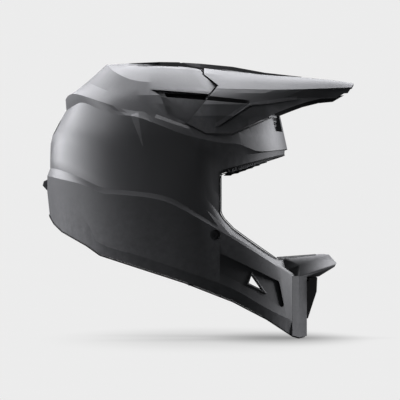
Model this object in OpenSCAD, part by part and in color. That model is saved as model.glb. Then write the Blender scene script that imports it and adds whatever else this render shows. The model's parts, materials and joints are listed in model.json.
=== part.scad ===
/* [Shell] */
// Length of the shell from its back to the front of the chin
shell_l = 270; // [255:1:285]
// Height of the shell from the lowest edge of the chin to the crown
shell_h = 289; // [275:1:300]
// Greatest width of the shell
shell_w = 236; // [226:1:246]
// Thickness of the shell's wall
wall = 5; // [4.4:0.1:5.6]
// Depth of the seat in the shell that the visor lies in
visor_seat_d = 3.2; // [3:0.1:3.4]
// How far the lower half of the shell stands proud along its ridge
ridge_d = 3; // [2:0.1:3.6]
// Height of the raised rib along the middle of the crown
crown_rib_h = 5; // [4:0.1:5.6]
// Width of the raised rib along the middle of the crown
crown_rib_w = 30; // [26:1:32]

/* [Visor] */
// Thickness of the visor's wall
visor_t = 2.2; // [1.8:0.1:2.3]
// Gap left all round between the visor and the shell
seam_gap = 1.8; // [1.6:0.1:2.2]
// Reach of the visor's tip in front of the middle of the head
visor_reach = 198; // [190:1:206]
// Width of the visor's raised spine
spine_w = 22; // [18:1:24]
// Highest tilt of the visor above its rest
visor_tilt = 6; // [3:1:6]
// Diameter of the two pins that the visor turns on
hinge_pin_d = 4; // [3:0.5:4.5]

/* [Lining] */
// Thickness of the foam liner at the sides and the back
liner_t = 22; // [20:1:23]
// Thickness of the foam inside the chin bar
chin_liner_t = 12; // [10:1:13]
// Thickness of the cheek pads
cheek_pad_t = 26; // [22:1:28]
// Thickness of the crown, brow and neck pads
pad_t = 6; // [4:1:7]

/* [Hardware] */
// Width of the chin strap
strap_w = 20; // [18:1:22]
// Thickness of the chin strap
strap_t = 2; // [1.6:0.1:2.4]
// Diameter of the round side screw's head
screw_head_d = 10; // [9:0.5:11]
// Running gap between a pin and its bore, on the radius
run_fit = 0.06; // [0.03:0.01:0.1]
// Gap between soft or curved pieces and what carries them
seat_gap = 0.3; // [0.2:0.05:0.4]

/* [Hidden] */
overrun = 1;
turn = 360;
half = turn / 2;
quarter = turn / 4;
half_w = shell_w / 2;

// The seat on the shell for the visor's lock
lock_seat_w = 13;
lock_seat_h = 16;
// Facets round the shell and the visor, a multiple of four
around = 80;
// Facets round the inner face and what lies on it
core_around = 60;

// Outlines and ridge lines of the shell, seen from the side
// Each point is a share of the shell's length and a share of its height
// A third value sinks the surface there, as a share of the ridge's depth
hem_shares = [[-0.459, -0.045], [-0.426, -0.09], [-0.393, -0.118], [-0.296, -0.168],
    [-0.244, -0.202], [0.077, -0.299], [0.259, -0.366], [0.389, -0.43], [0.489, -0.492],
    [0.515, -0.5], [0.556, -0.495]];
bevel_line_shares = [[-0.456, 0.028], [-0.417, 0.017], [-0.321, -0.06], [-0.295, -0.073],
    [-0.259, -0.148], [-0.091, -0.202], [0.043, -0.244], [0.259, -0.318], [0.389, -0.388],
    [0.548, -0.46]];
ridge_low_shares = [[-0.456, 0.087], [-0.415, 0.076], [-0.306, 0.049], [-0.237, 0.019],
    [-0.173, 0.015], [0.004, -0.01], [0.134, -0.072], [0.219, -0.118], [0.37, -0.204],
    [0.496, -0.278], [0.548, -0.304]];
ridge_top_shares = [[-0.448, 0.114, 1], [-0.407, 0.104, 1], [-0.319, 0.072, 1],
    [-0.235, 0.038, 1], [-0.127, 0.027, 1], [0.022, 0.004, 1], [0.134, -0.055, 1],
    [0.211, -0.102, 0.3], [0.37, -0.192, 0.3], [0.496, -0.266, 0.2], [0.541, -0.291, 0]];
side_low_shares = [[-0.444, 0.173, 0.8], [-0.237, 0.131, 0.9], [0, 0.083, 1.3],
    [0.133, 0.021, 1.2], [0.204, -0.035, 2], [0.231, -0.068, 2.2], [0.266, -0.102, 2.4],
    [0.319, -0.138, 2.4], [0.433, -0.211, 2], [0.526, -0.242, 1]];
side_mid_shares = [[-0.431, 0.235, 0], [-0.237, 0.215, 0.2], [-0.104, 0.201, 0.7],
    [0, 0.173, 1.2], [0.089, 0.145, 1.2], [0.148, 0.122, 0.7], [0.222, 0.097, 1.8],
    [0.37, 0.125, 0.5], [0.463, 0.138, 0]];
scallop_shares = [[-0.383, 0.324, 0.8], [-0.32, 0.344, 0.8], [-0.236, 0.311, 0.4],
    [-0.173, 0.296, 0], [-0.102, 0.289, -0.3], [0.004, 0.251, -0.4], [0.088, 0.222, -0.3],
    [0.222, 0.197, 0], [0.284, 0.194, 0], [0.359, 0.17, 0], [0.476, 0.183, 0]];
spoiler_shares = [[-0.385, 0.356, -0.6], [-0.359, 0.374, -1], [-0.333, 0.377, -1],
    [-0.23, 0.343, -0.8], [-0.144, 0.315, 0], [-0.037, 0.304, 0], [0.074, 0.291, 0],
    [0.222, 0.277, 0], [0.37, 0.284, 0], [0.446, 0.303, 0]];
shoulder_shares = [[-0.304, 0.426], [-0.222, 0.388], [-0.148, 0.37], [0, 0.367],
    [0.167, 0.36], [0.333, 0.339], [0.404, 0.343]];
crown_edge_shares = [[-0.226, 0.49], [-0.196, 0.46], [-0.129, 0.427], [-0.059, 0.416],
    [0.03, 0.408], [0.18, 0.396], [0.296, 0.374], [0.359, 0.367]];
crown_mid_shares = [[-0.156, 0.486], [-0.074, 0.476], [0, 0.472], [0.148, 0.46],
    [0.267, 0.426]];
crown_top_shares = [[-0.081, 0.484], [0.037, 0.483], [0.156, 0.471]];
skirt_shares = [[-0.5, -0.6], [0.6, -0.6]];
port_shares = [[0.219, 0.09], [0.226, 0.098], [0.459, 0.158], [0.519, 0.173],
    [0.778, 0.194], [0.778, -0.218], [0.433, -0.211], [0.319, -0.138], [0.266, -0.102],
    [0.231, -0.068], [0.219, -0.048]];

// Lines of the visor, as shares of its reach and of the shell's height
visor_low_shares = [[-0.3, 0.12], [1.2, 0.12]];
visor_side_shares = [[-0.3, 0.29], [1.2, 0.3]];
visor_shoulder_shares = [[-0.3, 0.36], [0.25, 0.358], [0.6, 0.36], [1.2, 0.37]];
visor_crease_shares = [[-0.3, 0.41], [0.24, 0.394], [0.59, 0.39], [0.86, 0.397], [1.2, 0.41]];
visor_mid_shares = [[-0.3, 0.48], [0.12, 0.463], [0.23, 0.452], [0.35, 0.443], [0.53, 0.434],
    [0.72, 0.428], [0.91, 0.422], [1.2, 0.41]];
visor_top_shares = [[-0.3, 0.5], [0.12, 0.486], [0.23, 0.479], [0.35, 0.469], [0.53, 0.453],
    [0.72, 0.445], [0.91, 0.4325], [1, 0.422], [1.2, 0.4]];
// The seam, then the free lower edge out to the tip, as shares of the visor's reach
seam_shares = [[0.152, 0.449], [0.206, 0.405], [0.167, 0.358], [0.087, 0.266],
    [0.161, 0.231], [0.258, 0.231], [0.319, 0.258]];
visor_edge_shares = [[0.603, 0.312], [0.672, 0.33], [0.737, 0.346], [0.823, 0.36],
    [0.9, 0.364], [0.95, 0.384], [0.985, 0.398], [1.01, 0.41]];
// Plan of the visor's front edge, as shares of its reach and of half the shell's width
visor_plan_shares = [[0, 1], [0.9, 1], [0.965, 0.6], [0.99, 0.3], [1, 0]];
// Places along the spine: share of the reach, top share of the height, width share
spine_shares = [[0.091, 0.498, 0.9], [0.187, 0.494, 1], [0.354, 0.483, 1],
    [0.525, 0.4615, 0.95], [0.72, 0.4465, 0.8]];

// Each ring: reach in front and behind as shares of the length, half width as a share
// of half the shell's width, the two plan exponents, its line, 1 where it is a crease,
// and its lean: 0 on an upright wall, 1 on a level top
shell_ring_shares = [
    [0.541, 0.437, 0.955, 2, 2.3, skirt_shares, 1, 0],
    [0.541, 0.446, 0.965, 2, 2.3, hem_shares, 1, 0],
    [0.548, 0.457, 1, 2, 2.25, bevel_line_shares, 1, 0],
    [0.548, 0.457, 1, 2, 2.25, ridge_low_shares, 1, 0],
    [0.545, 0.457, 0.998, 2, 2.25, ridge_top_shares, 1, 0],
    [0.527, 0.454, 0.99, 2, 2.25, side_low_shares, 0, 0],
    [0.463, 0.436, 0.965, 2.1, 2.3, side_mid_shares, 0, 0],
    [0.476, 0.392, 0.93, 2.2, 2.3, scallop_shares, 1, 0.1],
    [0.448, 0.378, 0.885, 2.2, 2.3, spoiler_shares, 1, 0.2],
    [0.404, 0.304, 0.8, 2.3, 2.3, shoulder_shares, 0, 0.4],
    [0.362, 0.228, 0.678, 2.5, 2.3, crown_edge_shares, 1, 0.65],
    [0.267, 0.156, 0.42, 2.3, 2.2, crown_mid_shares, 0, 1],
    [0.156, 0.081, 0.17, 2.2, 2.2, crown_top_shares, 0, 1]
];

// The smooth inner face of the wall: reaches, half width, exponents, height and lean,
// and how deep it leans in beside the face port, as a share of the ridge's depth
core_ring_shares = [
    [0.49, 0.42, 0.93, 2, 2.3, -0.62, 0, 0],
    [0.522, 0.436, 0.957, 2, 2.3, -0.35, 0, 0],
    [0.505, 0.436, 0.957, 2, 2.25, -0.1, 0, 3],
    [0.47, 0.428, 0.935, 2, 2.25, 0.08, 0, 1.8],
    [0.435, 0.41, 0.908, 2.1, 2.3, 0.18, 0, 1],
    [0.425, 0.378, 0.86, 2.15, 2.3, 0.27, 0.1, 0],
    [0.378, 0.34, 0.765, 2.2, 2.3, 0.34, 0.35, 0],
    [0.3, 0.285, 0.66, 2.3, 2.3, 0.385, 0.55, 0],
    [0.232, 0.225, 0.5, 2.3, 2.2, 0.425, 0.8, 0],
    [0.15, 0.15, 0.26, 2.2, 2.2, 0.448, 1, 0]
];

// The visor's sheet: reaches as shares of the visor's reach, half width as a share of half
// the shell's width, the two exponents, its line, 1 where it is a crease, and its lean
visor_ring_shares = [
    [1.172, 0.3, 0.955, 1.6, 2, visor_low_shares, 1, 0],
    [1.172, 0.3, 0.89, 1.6, 2, visor_side_shares, 0, 0],
    [1.18, 0.3, 0.805, 1.7, 2, visor_shoulder_shares, 0, 0.2],
    [1.2, 0.3, 0.69, 2.2, 2, visor_crease_shares, 1, 0.6],
    [1.2, 0.3, 0.4, 2.2, 2, visor_mid_shares, 0, 1],
    [1.2, 0.3, 0.09, 2.2, 2, visor_top_shares, 0, 1]
];

// Value of a line at x, on a smooth curve through the line's points
function knot_slope(t, i, c) =
    let (a = max(i - 1, 0), b = min(i + 1, len(t) - 1))
    (share_of(t[b], c) - share_of(t[a], c)) / (t[b][0] - t[a][0]);
function share_of(p, c) = len(p) > c ? p[c] : 0;
function knot_place(t, x, i = 0) = (i >= len(t) - 2 || x < t[i + 1][0]) ? i : knot_place(t, x, i + 1);
function line_at(t, x, c) =
    let (u = min(max(x, t[0][0]), t[len(t) - 1][0]), i = knot_place(t, u),
        w = t[i + 1][0] - t[i][0], s = (u - t[i][0]) / w,
        a = share_of(t[i], c), b = share_of(t[i + 1], c),
        m = knot_slope(t, i, c) * w, n = knot_slope(t, i + 1, c) * w)
    a + s * m + s * s * (3 * (b - a) - 2 * m - n) + s * s * s * (2 * (a - b) + m + n);

// Plan outline of one ring at an angle, as shares of length and of half width
function power(v, e) = sign(v) * pow(abs(v), e);
function plan_x(r, a) = cos(a) > 0 ? r[0] * power(cos(a), 2 / r[3]) : r[1] * power(cos(a), 2 / r[4]);
function plan_y(r, a) = r[2] * power(sin(a), 2 / (cos(a) > 0 ? r[3] : r[4]));

// A point moved toward the middle line of the head by a length
function drawn_in(x, y, d) =
    let (r = norm([x, y]))
    r < d ? [0, 0] : [x * (1 - d / r), y * (1 - d / r)];

// One ring of a skin, drawn in square to its surface by an inset
// The skin is its rings, its length and height, and how deep a share of sinking goes
function skin_ring(r, l, inset, sink) = [for (i = [0:around - 1])
    let (a = i * turn / around, x = plan_x(r, a), y = plan_y(r, a),
        sunk = line_at(r[5], x, 2) * sink + inset * cos(r[7] * quarter),
        p = drawn_in(x * l, y * half_w, sunk))
    [p[0], p[1], line_at(r[5], x, 1) * shell_h - inset * sin(r[7] * quarter)]];

// A soft ring halfway between two others, bulged as their neighbours ask
function mid_ring(k, t, i) =
    let (a = k[i], b = k[i + 1], c = k[max(i - 1, 0)], d = k[min(i + 2, len(k) - 1)])
    [for (j = [0:around - 1])
        let (s = b[j] - a[j], m = t[i][6] == 1 ? s : (b[j] - c[j]) / 2,
            n = t[i + 1][6] == 1 ? s : (d[j] - a[j]) / 2)
        (a[j] + b[j]) / 2 + (m - n) / 8];
function skin(t, l, inset, sink, soft_from) =
    let (k = [for (r = t) skin_ring(r, l, inset, sink)])
    [for (i = [0:len(k) - 1]) each i < len(k) - 1 && i >= soft_from ? [k[i], mid_ring(k, t, i)] : [k[i]]];

// Rings of the smooth inner face, drawn in by a further length
port_lean_from = 0.1;
port_lean_to = 0.24;
function port_lean(x) = min(1, max(0, (x - port_lean_from) / (port_lean_to - port_lean_from)));
function core_ring(r, inset) = [for (i = [0:core_around - 1])
    let (a = i * turn / core_around, x = plan_x(r, a),
        d = inset * cos(r[6] * quarter) + r[7] * ridge_d * port_lean(x),
        p = drawn_in(x * shell_l, plan_y(r, a) * half_w, d))
    [p[0], p[1], r[5] * shell_h - inset * sin(r[6] * quarter)]];
function core_rings(inset) = [for (r = core_ring_shares) core_ring(r, inset)];

// A closed solid through rings of points, from the lowest to the highest
// The first and last rings are closed straight across the middle plane
module loft(rings) {
    n = len(rings[0]);
    m = len(rings);
    last = (m - 1) * n;
    polyhedron(points = [for (r = rings) each r],
        faces = concat(
            [for (i = [0:m - 2], j = [0:n - 1]) each
                let (a = i * n + j, b = i * n + (j + 1) % n, c = a + n, d = b + n)
                [[a, c, b], [b, c, d]]],
            [for (j = [0:n / 2 - 1]) each
                let (a = j, b = j + 1, c = (n - j - 1) % n, d = (n - j) % n)
                concat([[b, c, a]], j > 0 ? [[a, c, d]] : [])],
            [for (j = [0:n / 2 - 1]) each
                let (a = last + j, b = last + j + 1, c = last + (n - j - 1) % n, d = last + (n - j) % n)
                concat([[b, a, c]], j > 0 ? [[a, d, c]] : [])]));
}

// Points of an outline in the side view, in real lengths
function side_outline(shares, l = shell_l) = [for (p = shares) [p[0] * l, p[1] * shell_h]];

// A prism across the whole width, from an outline drawn in the side view
module across(w = shell_w * 2) {
    rotate([quarter, 0, 0]) linear_extrude(w, center = true) children();
}
// A prism on one side only, from the middle plane outwards
module aside(side, from = 0, w = shell_w) {
    translate([0, side * (from + w / 2), 0]) across(w) children();
}

module shell_body(inset = 0) loft(skin(shell_ring_shares, shell_l, inset, ridge_d, 4));
module core_body(inset = 0) loft(core_rings(inset));
module visor_body(inset = 0) loft(skin(visor_ring_shares, visor_reach, inset, 0, 0));

visor_outline = concat(side_outline(seam_shares), side_outline(visor_edge_shares, visor_reach),
    [[visor_reach * 1.05, shell_h * 0.6], [shell_l * 0.152, shell_h * 0.6]]);

module below_hem(lift = 0) {
    across() translate([0, lift]) polygon(concat([[-shell_l, hem_shares[0][1] * shell_h]],
        side_outline(hem_shares), [[shell_l, hem_shares[10][1] * shell_h], [shell_l, -shell_h],
        [-shell_l, -shell_h]]));
}

// The spine, as a chain of rounded blocks from one place to the next
module spine(grow, drop) {
    p = spine_shares;
    for (i = [0:len(p) - 2]) hull() for (k = [i, i + 1]) {
        translate([p[k][0] * visor_reach, 0, p[k][1] * shell_h - spine_h - drop])
            linear_extrude(spine_h + grow + drop, scale = [1, 0.8])
                square([overrun, spine_w * p[k][2] + 2 * grow], center = true);
    }
}
spine_h = 5;
run_room = 0.6;
// The room that the spine sweeps through as the visor rises
sweep_steps = 4;
module spine_sweep() for (i = [0:sweep_steps])
    translate([hinge_x, 0, hinge_z]) rotate([0, -visor_tilt * i / sweep_steps, 0])
        translate([-hinge_x, 0, -hinge_z]) spine(seam_gap / 2, run_room);

// The rib along the middle of the crown
crown_rib_shares = [[-0.222, 0.485, 0.8], [-0.205, 0.491, 1], [-0.14, 0.496, 1], [-0.02, 0.5, 0.9],
    [0.056, 0.5, 0.85]];
module crown_rib() {
    p = crown_rib_shares;
    for (i = [0:len(p) - 2]) hull() for (k = [i, i + 1])
        translate([p[k][0] * shell_l, 0, p[k][1] * shell_h - crown_rib_h * 2])
            linear_extrude(crown_rib_h * 2, scale = [1, 0.72])
                square([overrun, crown_rib_w * p[k][2]], center = true);
}

// Two flanks that run forward from the rib, one on each side of the visor's spine
flank_w = 34;
flank_shares = [[-0.02, 0.45], [-0.02, 0.4955], [0.074, 0.4955], [0.094, 0.485], [0.185, 0.4715],
    [0.212, 0.466], [0.212, 0.42]];
flank_front = flank_shares[5][0] * shell_l;
module crown_flanks() across(flank_w) polygon(side_outline(flank_shares));
// The notch in the visor's sheet that the flanks stand in
notch_reach_share = 0.048;
module visor_notch() {
    w = flank_w / 2 + seam_gap;
    linear_extrude(shell_h) polygon([[0, -w], [flank_front + notch_reach_share * shell_l, -w],
        [flank_front + seam_gap, -spine_w / 2], [flank_front + seam_gap, spine_w / 2],
        [flank_front + notch_reach_share * shell_l, w], [0, w]]);
}

// The tab at the back that keeps a goggle's strap from sliding up
tab_w = 16;
tab_shares = [[-0.43, 0.085], [-0.47, 0.0675], [-0.4745, 0.052], [-0.457, 0.034], [-0.43, 0.025]];

// The beak over the mouth: its side outline at the middle and at its flanks
beak_mid_shares = [[0.38, -0.212], [0.615, -0.196], [0.634, -0.198], [0.664, -0.228],
    [0.657, -0.242], [0.596, -0.277], [0.5, -0.29], [0.38, -0.27]];
beak_flank_shares = [[0.4, -0.214], [0.47, -0.212], [0.52, -0.236], [0.505, -0.28], [0.44, -0.28]];
beak_mid_w = 40;
beak_flank_w = 94;
module beak(inset = 0) {
    hull() {
        across(beak_mid_w - inset * 2) offset(-inset) polygon(side_outline(beak_mid_shares));
        across(beak_flank_w - inset * 2) offset(-inset) polygon(side_outline(beak_flank_shares));
    }
}
chin_vent_shares = [[0.211, -0.192], [0.438, -0.293], [0.46, -0.392], [0.309, -0.31],
    [0.211, -0.26]];
chin_hole_shares = [[0.331, -0.258], [0.391, -0.338], [0.314, -0.303]];
chin_vent_d = 3;
vent_round = 2;
scoop_shares = [[-0.052, 0.388], [0.175, 0.372], [0.167, 0.358], [0.087, 0.266], [0.012, 0.301],
    [-0.014, 0.366]];
slot_shares = [[0.0, 0.376], [0.16, 0.368], [0.158, 0.35], [0.01, 0.36]];
mouth_w = 64;
mouth_top_share = -0.292;
mouth_low_share = -0.43;
// The flat frame round the mouth's opening, with its sides sloped back
surround_front_share = 0.5475;
surround_back_share = 0.49;
surround_rim = 4;
surround_slope = 17;
module surround_block(front_share, w) translate([shell_l * 0.4, -w / 2, hem_shares[10][1] * shell_h])
    cube([shell_l * (front_share - 0.4), w, shell_h * 0.22]);
module mouth_surround() hull() {
    surround_block(surround_front_share, mouth_w + 2 * surround_rim);
    surround_block(surround_back_share, mouth_w + 2 * (surround_rim + surround_slope));
}
crown_vent_shares = [[-0.115, 0.177], [0.052, 0.177], [0.052, 0.3], [-0.1, 0.33]];

// The rubber beads on the port's edge and on the lower edge
trim_t = 1.6;
trim_stand = 0.8;
port_round = 4;
module port_hole(grow = 0) offset(port_round) offset(-port_round) offset(delta = grow)
    polygon(side_outline(port_shares));

// The two pivots of the visor
hinge_x = shell_l * 0.17;
hinge_z = shell_h * 0.43;
hinge_y = half_w * 0.33;
lug_w = 6;
lug_r = 5;
lug_step = 1;
cheek_t = 2.6;
hinge_side_gap = 0.4;
bracket_w = lug_w + 2 * hinge_side_gap + 2 * cheek_t;
bracket_back = 8;
bracket_front = 11;
bracket_low = 7.5;
bracket_top = 2.8;
module hinge_pocket(side, grow) {
    translate([hinge_x - bracket_back - seat_gap - grow, side * hinge_y - bracket_w / 2 - seat_gap - grow,
            hinge_z - bracket_low - seat_gap - grow])
        cube([bracket_back + bracket_front + 2 * (seat_gap + grow), bracket_w + 2 * (seat_gap + grow), shell_h]);
}

// The round screw at each side, through the shell into the strap's anchor
screw_x = shell_l * 0.177;
screw_z = -shell_h * 0.1287;
screw_shank_d = 5;
screw_hole_room = 0.4;
screw_hole_d = screw_head_d + 2 * screw_hole_room;

// Vents in the brow and the back
brow_vent_y = half_w * 0.285;
brow_vent_w = 24;
brow_vent_h = 17;
brow_vent_z = shell_h * 0.2445;
module brow_vent_hole(side, grow)
    translate([shell_l * 0.36, side * brow_vent_y - brow_vent_w / 2 - grow, brow_vent_z - grow])
        cube([shell_l / 4, brow_vent_w + 2 * grow, brow_vent_h + 2 * grow]);
rear_vent_y = half_w * 0.15;
rear_vent_w = 24;
rear_vent_h = 14;
rear_vent_z = shell_h * 0.235;
module rear_vent_hole(side, grow)
    translate([-shell_l * 0.6, side * rear_vent_y - rear_vent_w / 2 - grow, rear_vent_z - grow])
        cube([shell_l * 0.3, rear_vent_w + 2 * grow, rear_vent_h + 2 * grow]);

module outer_shell() {
    color("#242628") difference() {
        union() {
            difference() {
                shell_body();
                across() port_hole(trim_t);
                difference() {
                    across() offset(delta = seam_gap) polygon(visor_outline);
                    shell_body(visor_seat_d);
                }
            }
            difference() {
                union() {
                    crown_rib();
                    crown_flanks();
                }
                translate([0, 0, -crown_rib_h]) core_body();
            }
            across(tab_w) polygon(side_outline(tab_shares));
            beak();
            mouth_surround();
            // The moulded seat of the visor's lock
            difference() {
                translate([web_x - ear_back - overrun, -lock_seat_w / 2, lock_base_z - lock_seat_h])
                    cube([ear_back * 2 + 2 * overrun, lock_seat_w, lock_seat_h]);
                translate([0, 0, -overrun]) core_body();
            }
        }
        translate([web_x - web_l, -lock_seat_w / 2, lock_base_z]) cube([web_l * 2, lock_seat_w, lock_seat_h]);
        core_body();
        beak(wall);
        below_hem(trim_t);
        spine_sweep();
        for (side = [-1, 1]) {
            hinge_pocket(side, 0);
            at_anchor(side) translate([0, 0, -wall]) cylinder(h = wall * 6, d = screw_hole_d, $fn = 32);
            rear_vent_hole(side, 0);
            brow_vent_hole(side, 0);
        }
        // The scoop behind the visor and the slot in it
        for (side = [-1, 1]) {
            difference() {
                aside(side) polygon(side_outline(scoop_shares));
                shell_body(visor_seat_d);
            }
            aside(side, half_w * 0.5) polygon(side_outline(slot_shares));
            difference() {
                aside(side) offset(vent_round) offset(-vent_round) polygon(side_outline(chin_vent_shares));
                shell_body(chin_vent_d);
            }
            aside(side) polygon(side_outline(chin_hole_shares));
            translate([0, 0, shell_h * 0.46]) linear_extrude(shell_h)
                polygon([for (p = crown_vent_shares) [p[0] * shell_l, side * p[1] * half_w]]);
        }
        // The mouth opening in the front of the chin
        mouth_hole(0);
    }
}
module mouth_hole(grow)
    translate([shell_l * 0.3, -mouth_w / 2 - grow, mouth_low_share * shell_h - grow])
        cube([shell_l / 2, mouth_w + 2 * grow, (mouth_top_share - mouth_low_share) * shell_h + 2 * grow]);

module visor_plan() {
    p = visor_plan_shares;
    linear_extrude(shell_h) polygon([for (m = [1, -1], i = [0:len(p) - (m > 0 ? 2 : 1)])
        let (q = p[m > 0 ? i : len(p) - 1 - i]) [q[0] * visor_reach, m * q[1] * half_w]]);
}
module visor() {
    color("#2b2d2f") intersection() {
        union() {
            intersection() {
                difference() {
                    visor_body();
                    visor_body(visor_t);
                    visor_notch();
                }
                across() polygon(visor_outline);
            }
            difference() {
                spine(0, 0);
                translate([0, 0, -spine_tongue_t]) visor_body(visor_t);
            }
            // Bosses for the hinge lugs and the web, flat below
            intersection() {
                visor_body(visor_t / 2);
                for (side = [-1, 1]) translate([hinge_x - boss_back, side * hinge_y - lug_w / 2 - overrun, boss_z])
                    cube([boss_l, lug_w + 2 * overrun, shell_h]);
            }
            intersection() {
                visor_body(visor_t / 2);
                translate([web_x - web_l / 2, -web_boss_w / 2, web_top_z]) cube([web_l, web_boss_w, shell_h]);
            }
            // Pressed ridges along each side
            intersection() {
                difference() {
                    visor_body(-side_ridge_h);
                    visor_body(visor_t / 2);
                }
                across() offset(delta = -2 * overrun) polygon(visor_outline);
                for (side = [-1, 1], i = [0:len(side_ridge_shares) - 2]) hull() for (k = [i, i + 1])
                    translate([side_ridge_shares[k][0] * shell_l, side * half_w / 2, side_ridge_shares[k][1] * shell_h])
                        cube([side_ridge_w, half_w, side_ridge_w], center = true);
            }
        }
        visor_plan();
    }
}
spine_tongue_t = 1.5;
side_ridge_shares = [[0.2, 0.262], [0.262, 0.3], [0.32, 0.336], [0.4, 0.345], [0.5, 0.36]];
side_ridge_w = 3;
side_ridge_h = 0.9;
boss_back = 2;
boss_l = 14;
boss_gap = 0.8;
boss_z = hinge_z + bracket_top + boss_gap;
web_x = shell_l * 0.385;
web_l = 22;
web_boss_w = 12;
web_t = 4;
web_gap = 1;
web_top_z = line_at(visor_top_shares, (web_x + web_l / 2) / visor_reach, 1) * shell_h - visor_t - web_gap;
lock_z = shell_h * 0.42;
lock_r = norm([web_x - hinge_x, lock_z - hinge_z]);
lock_d = 5;
slot_gap = 0.3;
web_rim = 2.1;
lock_plate_t = 1.4;
web_low_z = lock_z - lock_r * sin(visor_tilt) - lock_d / 2 - slot_gap - web_rim;
ear_t = 3;
ear_gap = 0.4;
ear_top = 3.6;
ear_back = 8;
lock_base_z = web_low_z - lock_plate_t - run_room;

module port_edge_trim() {
    p = side_outline(port_shares);
    color("#101010") beak_bead();
    color("#101010") intersection() {
        difference() {
            shell_body(-trim_stand);
            core_body(trim_stand);
            beak(-overrun);
            across() polygon(visor_outline);
        }
        across() difference() {
            port_hole(trim_t - seat_gap / 3);
            port_hole(0);
        }
        union() for (i = [0:len(p) - 1]) hull() for (q = [p[i], p[(i + 1) % len(p)]])
            translate([q[0], 0, q[1]]) cube([shell_l / 4, shell_w + shell_w, shell_l / 4], center = true);
    }
}
bead_shares = [[0.436, -0.22], [0.436, -0.19], [0.586, -0.19], [0.586, -0.22]];
module beak_bead() intersection() {
    difference() {
        translate([0, 0, trim_t / 2 + overrun]) beak(overrun);
        beak(-seat_gap / 3);
    }
    across() polygon(side_outline(bead_shares));
}
module neck_edge_trim() {
    p = side_outline(hem_shares);
    color("#101010") intersection() {
        difference() {
            shell_body(-trim_stand);
            core_body(trim_stand);
            below_hem(0);
        }
        below_hem(trim_t - seat_gap / 3);
        union() for (i = [0:len(p) - 2]) hull() for (q = [p[i], p[i + 1]])
            translate([q[0], 0, q[1]]) cube([shell_l / 4, shell_w + shell_w, shell_l / 4], center = true);
    }
}

// Mouth vent: a louvred block that stands out of the chin's front
mouth_insert_shares = [[0.505, -0.294], [0.5535, -0.294], [0.5535, -0.2842], [0.5885, -0.2795],
    [0.586, -0.331], [0.552, -0.428], [0.505, -0.428]];
louvres = 4;
louvre_wall = 3;
module mouth_vent_insert() {
    w = mouth_w - 2 * seat_gap;
    h = (mouth_top_share - mouth_low_share) * shell_h;
    pitch = (h - louvre_wall) / louvres;
    color("#151515") difference() {
        across(w) polygon(side_outline(mouth_insert_shares));
        for (i = [0:louvres - 1], side = [-1, 1])
            translate([shell_l * 0.45, side * (w / 4 - louvre_wall / 4) - (w / 2 - louvre_wall * 2) / 2,
                    mouth_low_share * shell_h + louvre_wall + i * pitch])
                cube([shell_l / 4, w / 2 - louvre_wall * 2, pitch - louvre_wall]);
    }
}
mesh_t = 1.2;
mesh_hole = 3.4;
mesh_bar = 1.2;
module net(w, h) {
    step = mesh_hole + mesh_bar;
    nx = floor((w - mesh_bar) / step);
    ny = floor((h - mesh_bar) / step);
    linear_extrude(mesh_t) difference() {
        square([w, h], center = true);
        for (i = [0:nx - 1], j = [0:ny - 1])
            translate([(i - (nx - 1) / 2) * step, (j - (ny - 1) / 2) * step]) square(mesh_hole, center = true);
    }
}
module mouth_vent_mesh() {
    h = (mouth_top_share - mouth_low_share) * shell_h - 2 * seat_gap;
    color("#303030") translate([0.505 * shell_l - mesh_t, 0, (mouth_top_share + mouth_low_share) / 2 * shell_h])
        rotate([quarter, 0, quarter]) net(mouth_w - 2 * seat_gap, h);
}

// Ducts through the chin bar's sides
duct_wall = 1.4;
duct_turn = 34;
duct_x = shell_l * 0.345;
duct_y = half_w * 0.757;
duct_l = wall + chin_liner_t - overrun;
module side_vent_duct(side) {
    color("#121212") intersection() {
        aside(side) difference() {
            offset(delta = -run_fit) polygon(side_outline(chin_hole_shares));
            offset(delta = -duct_wall - run_fit) polygon(side_outline(chin_hole_shares));
        }
        translate([duct_x, side * duct_y, 0]) rotate([0, 0, -side * duct_turn])
            translate([0, -side * duct_l / 2, 0]) cube([shell_l, duct_l, shell_h * 2], center = true);
    }
}
module side_vent_duct_right() side_vent_duct(-1);
module side_vent_duct_left() side_vent_duct(1);

// Nets set into the brow and the back, across their holes
brow_turn = 20;
rear_turn = 13;
module set_net(x, y, z, w, h, turned)
    translate([x, y, z]) rotate([quarter, 0, quarter]) rotate([0, turned, 0])
        translate([0, 0, -mesh_t / 2])
            net((w - 2 * seat_gap - mesh_t * sin(abs(turned))) / cos(turned), h - 2 * seat_gap);
module brow_vent_inserts() color("#151515") for (side = [-1, 1])
    set_net(shell_l * 0.415, side * brow_vent_y, brow_vent_z + brow_vent_h / 2, brow_vent_w, brow_vent_h,
        side * brow_turn);
module rear_vent_mesh() color("#151515") for (side = [-1, 1])
    set_net(-shell_l * 0.393, side * rear_vent_y, rear_vent_z + rear_vent_h / 2, rear_vent_w, rear_vent_h,
        -side * rear_turn);

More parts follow.
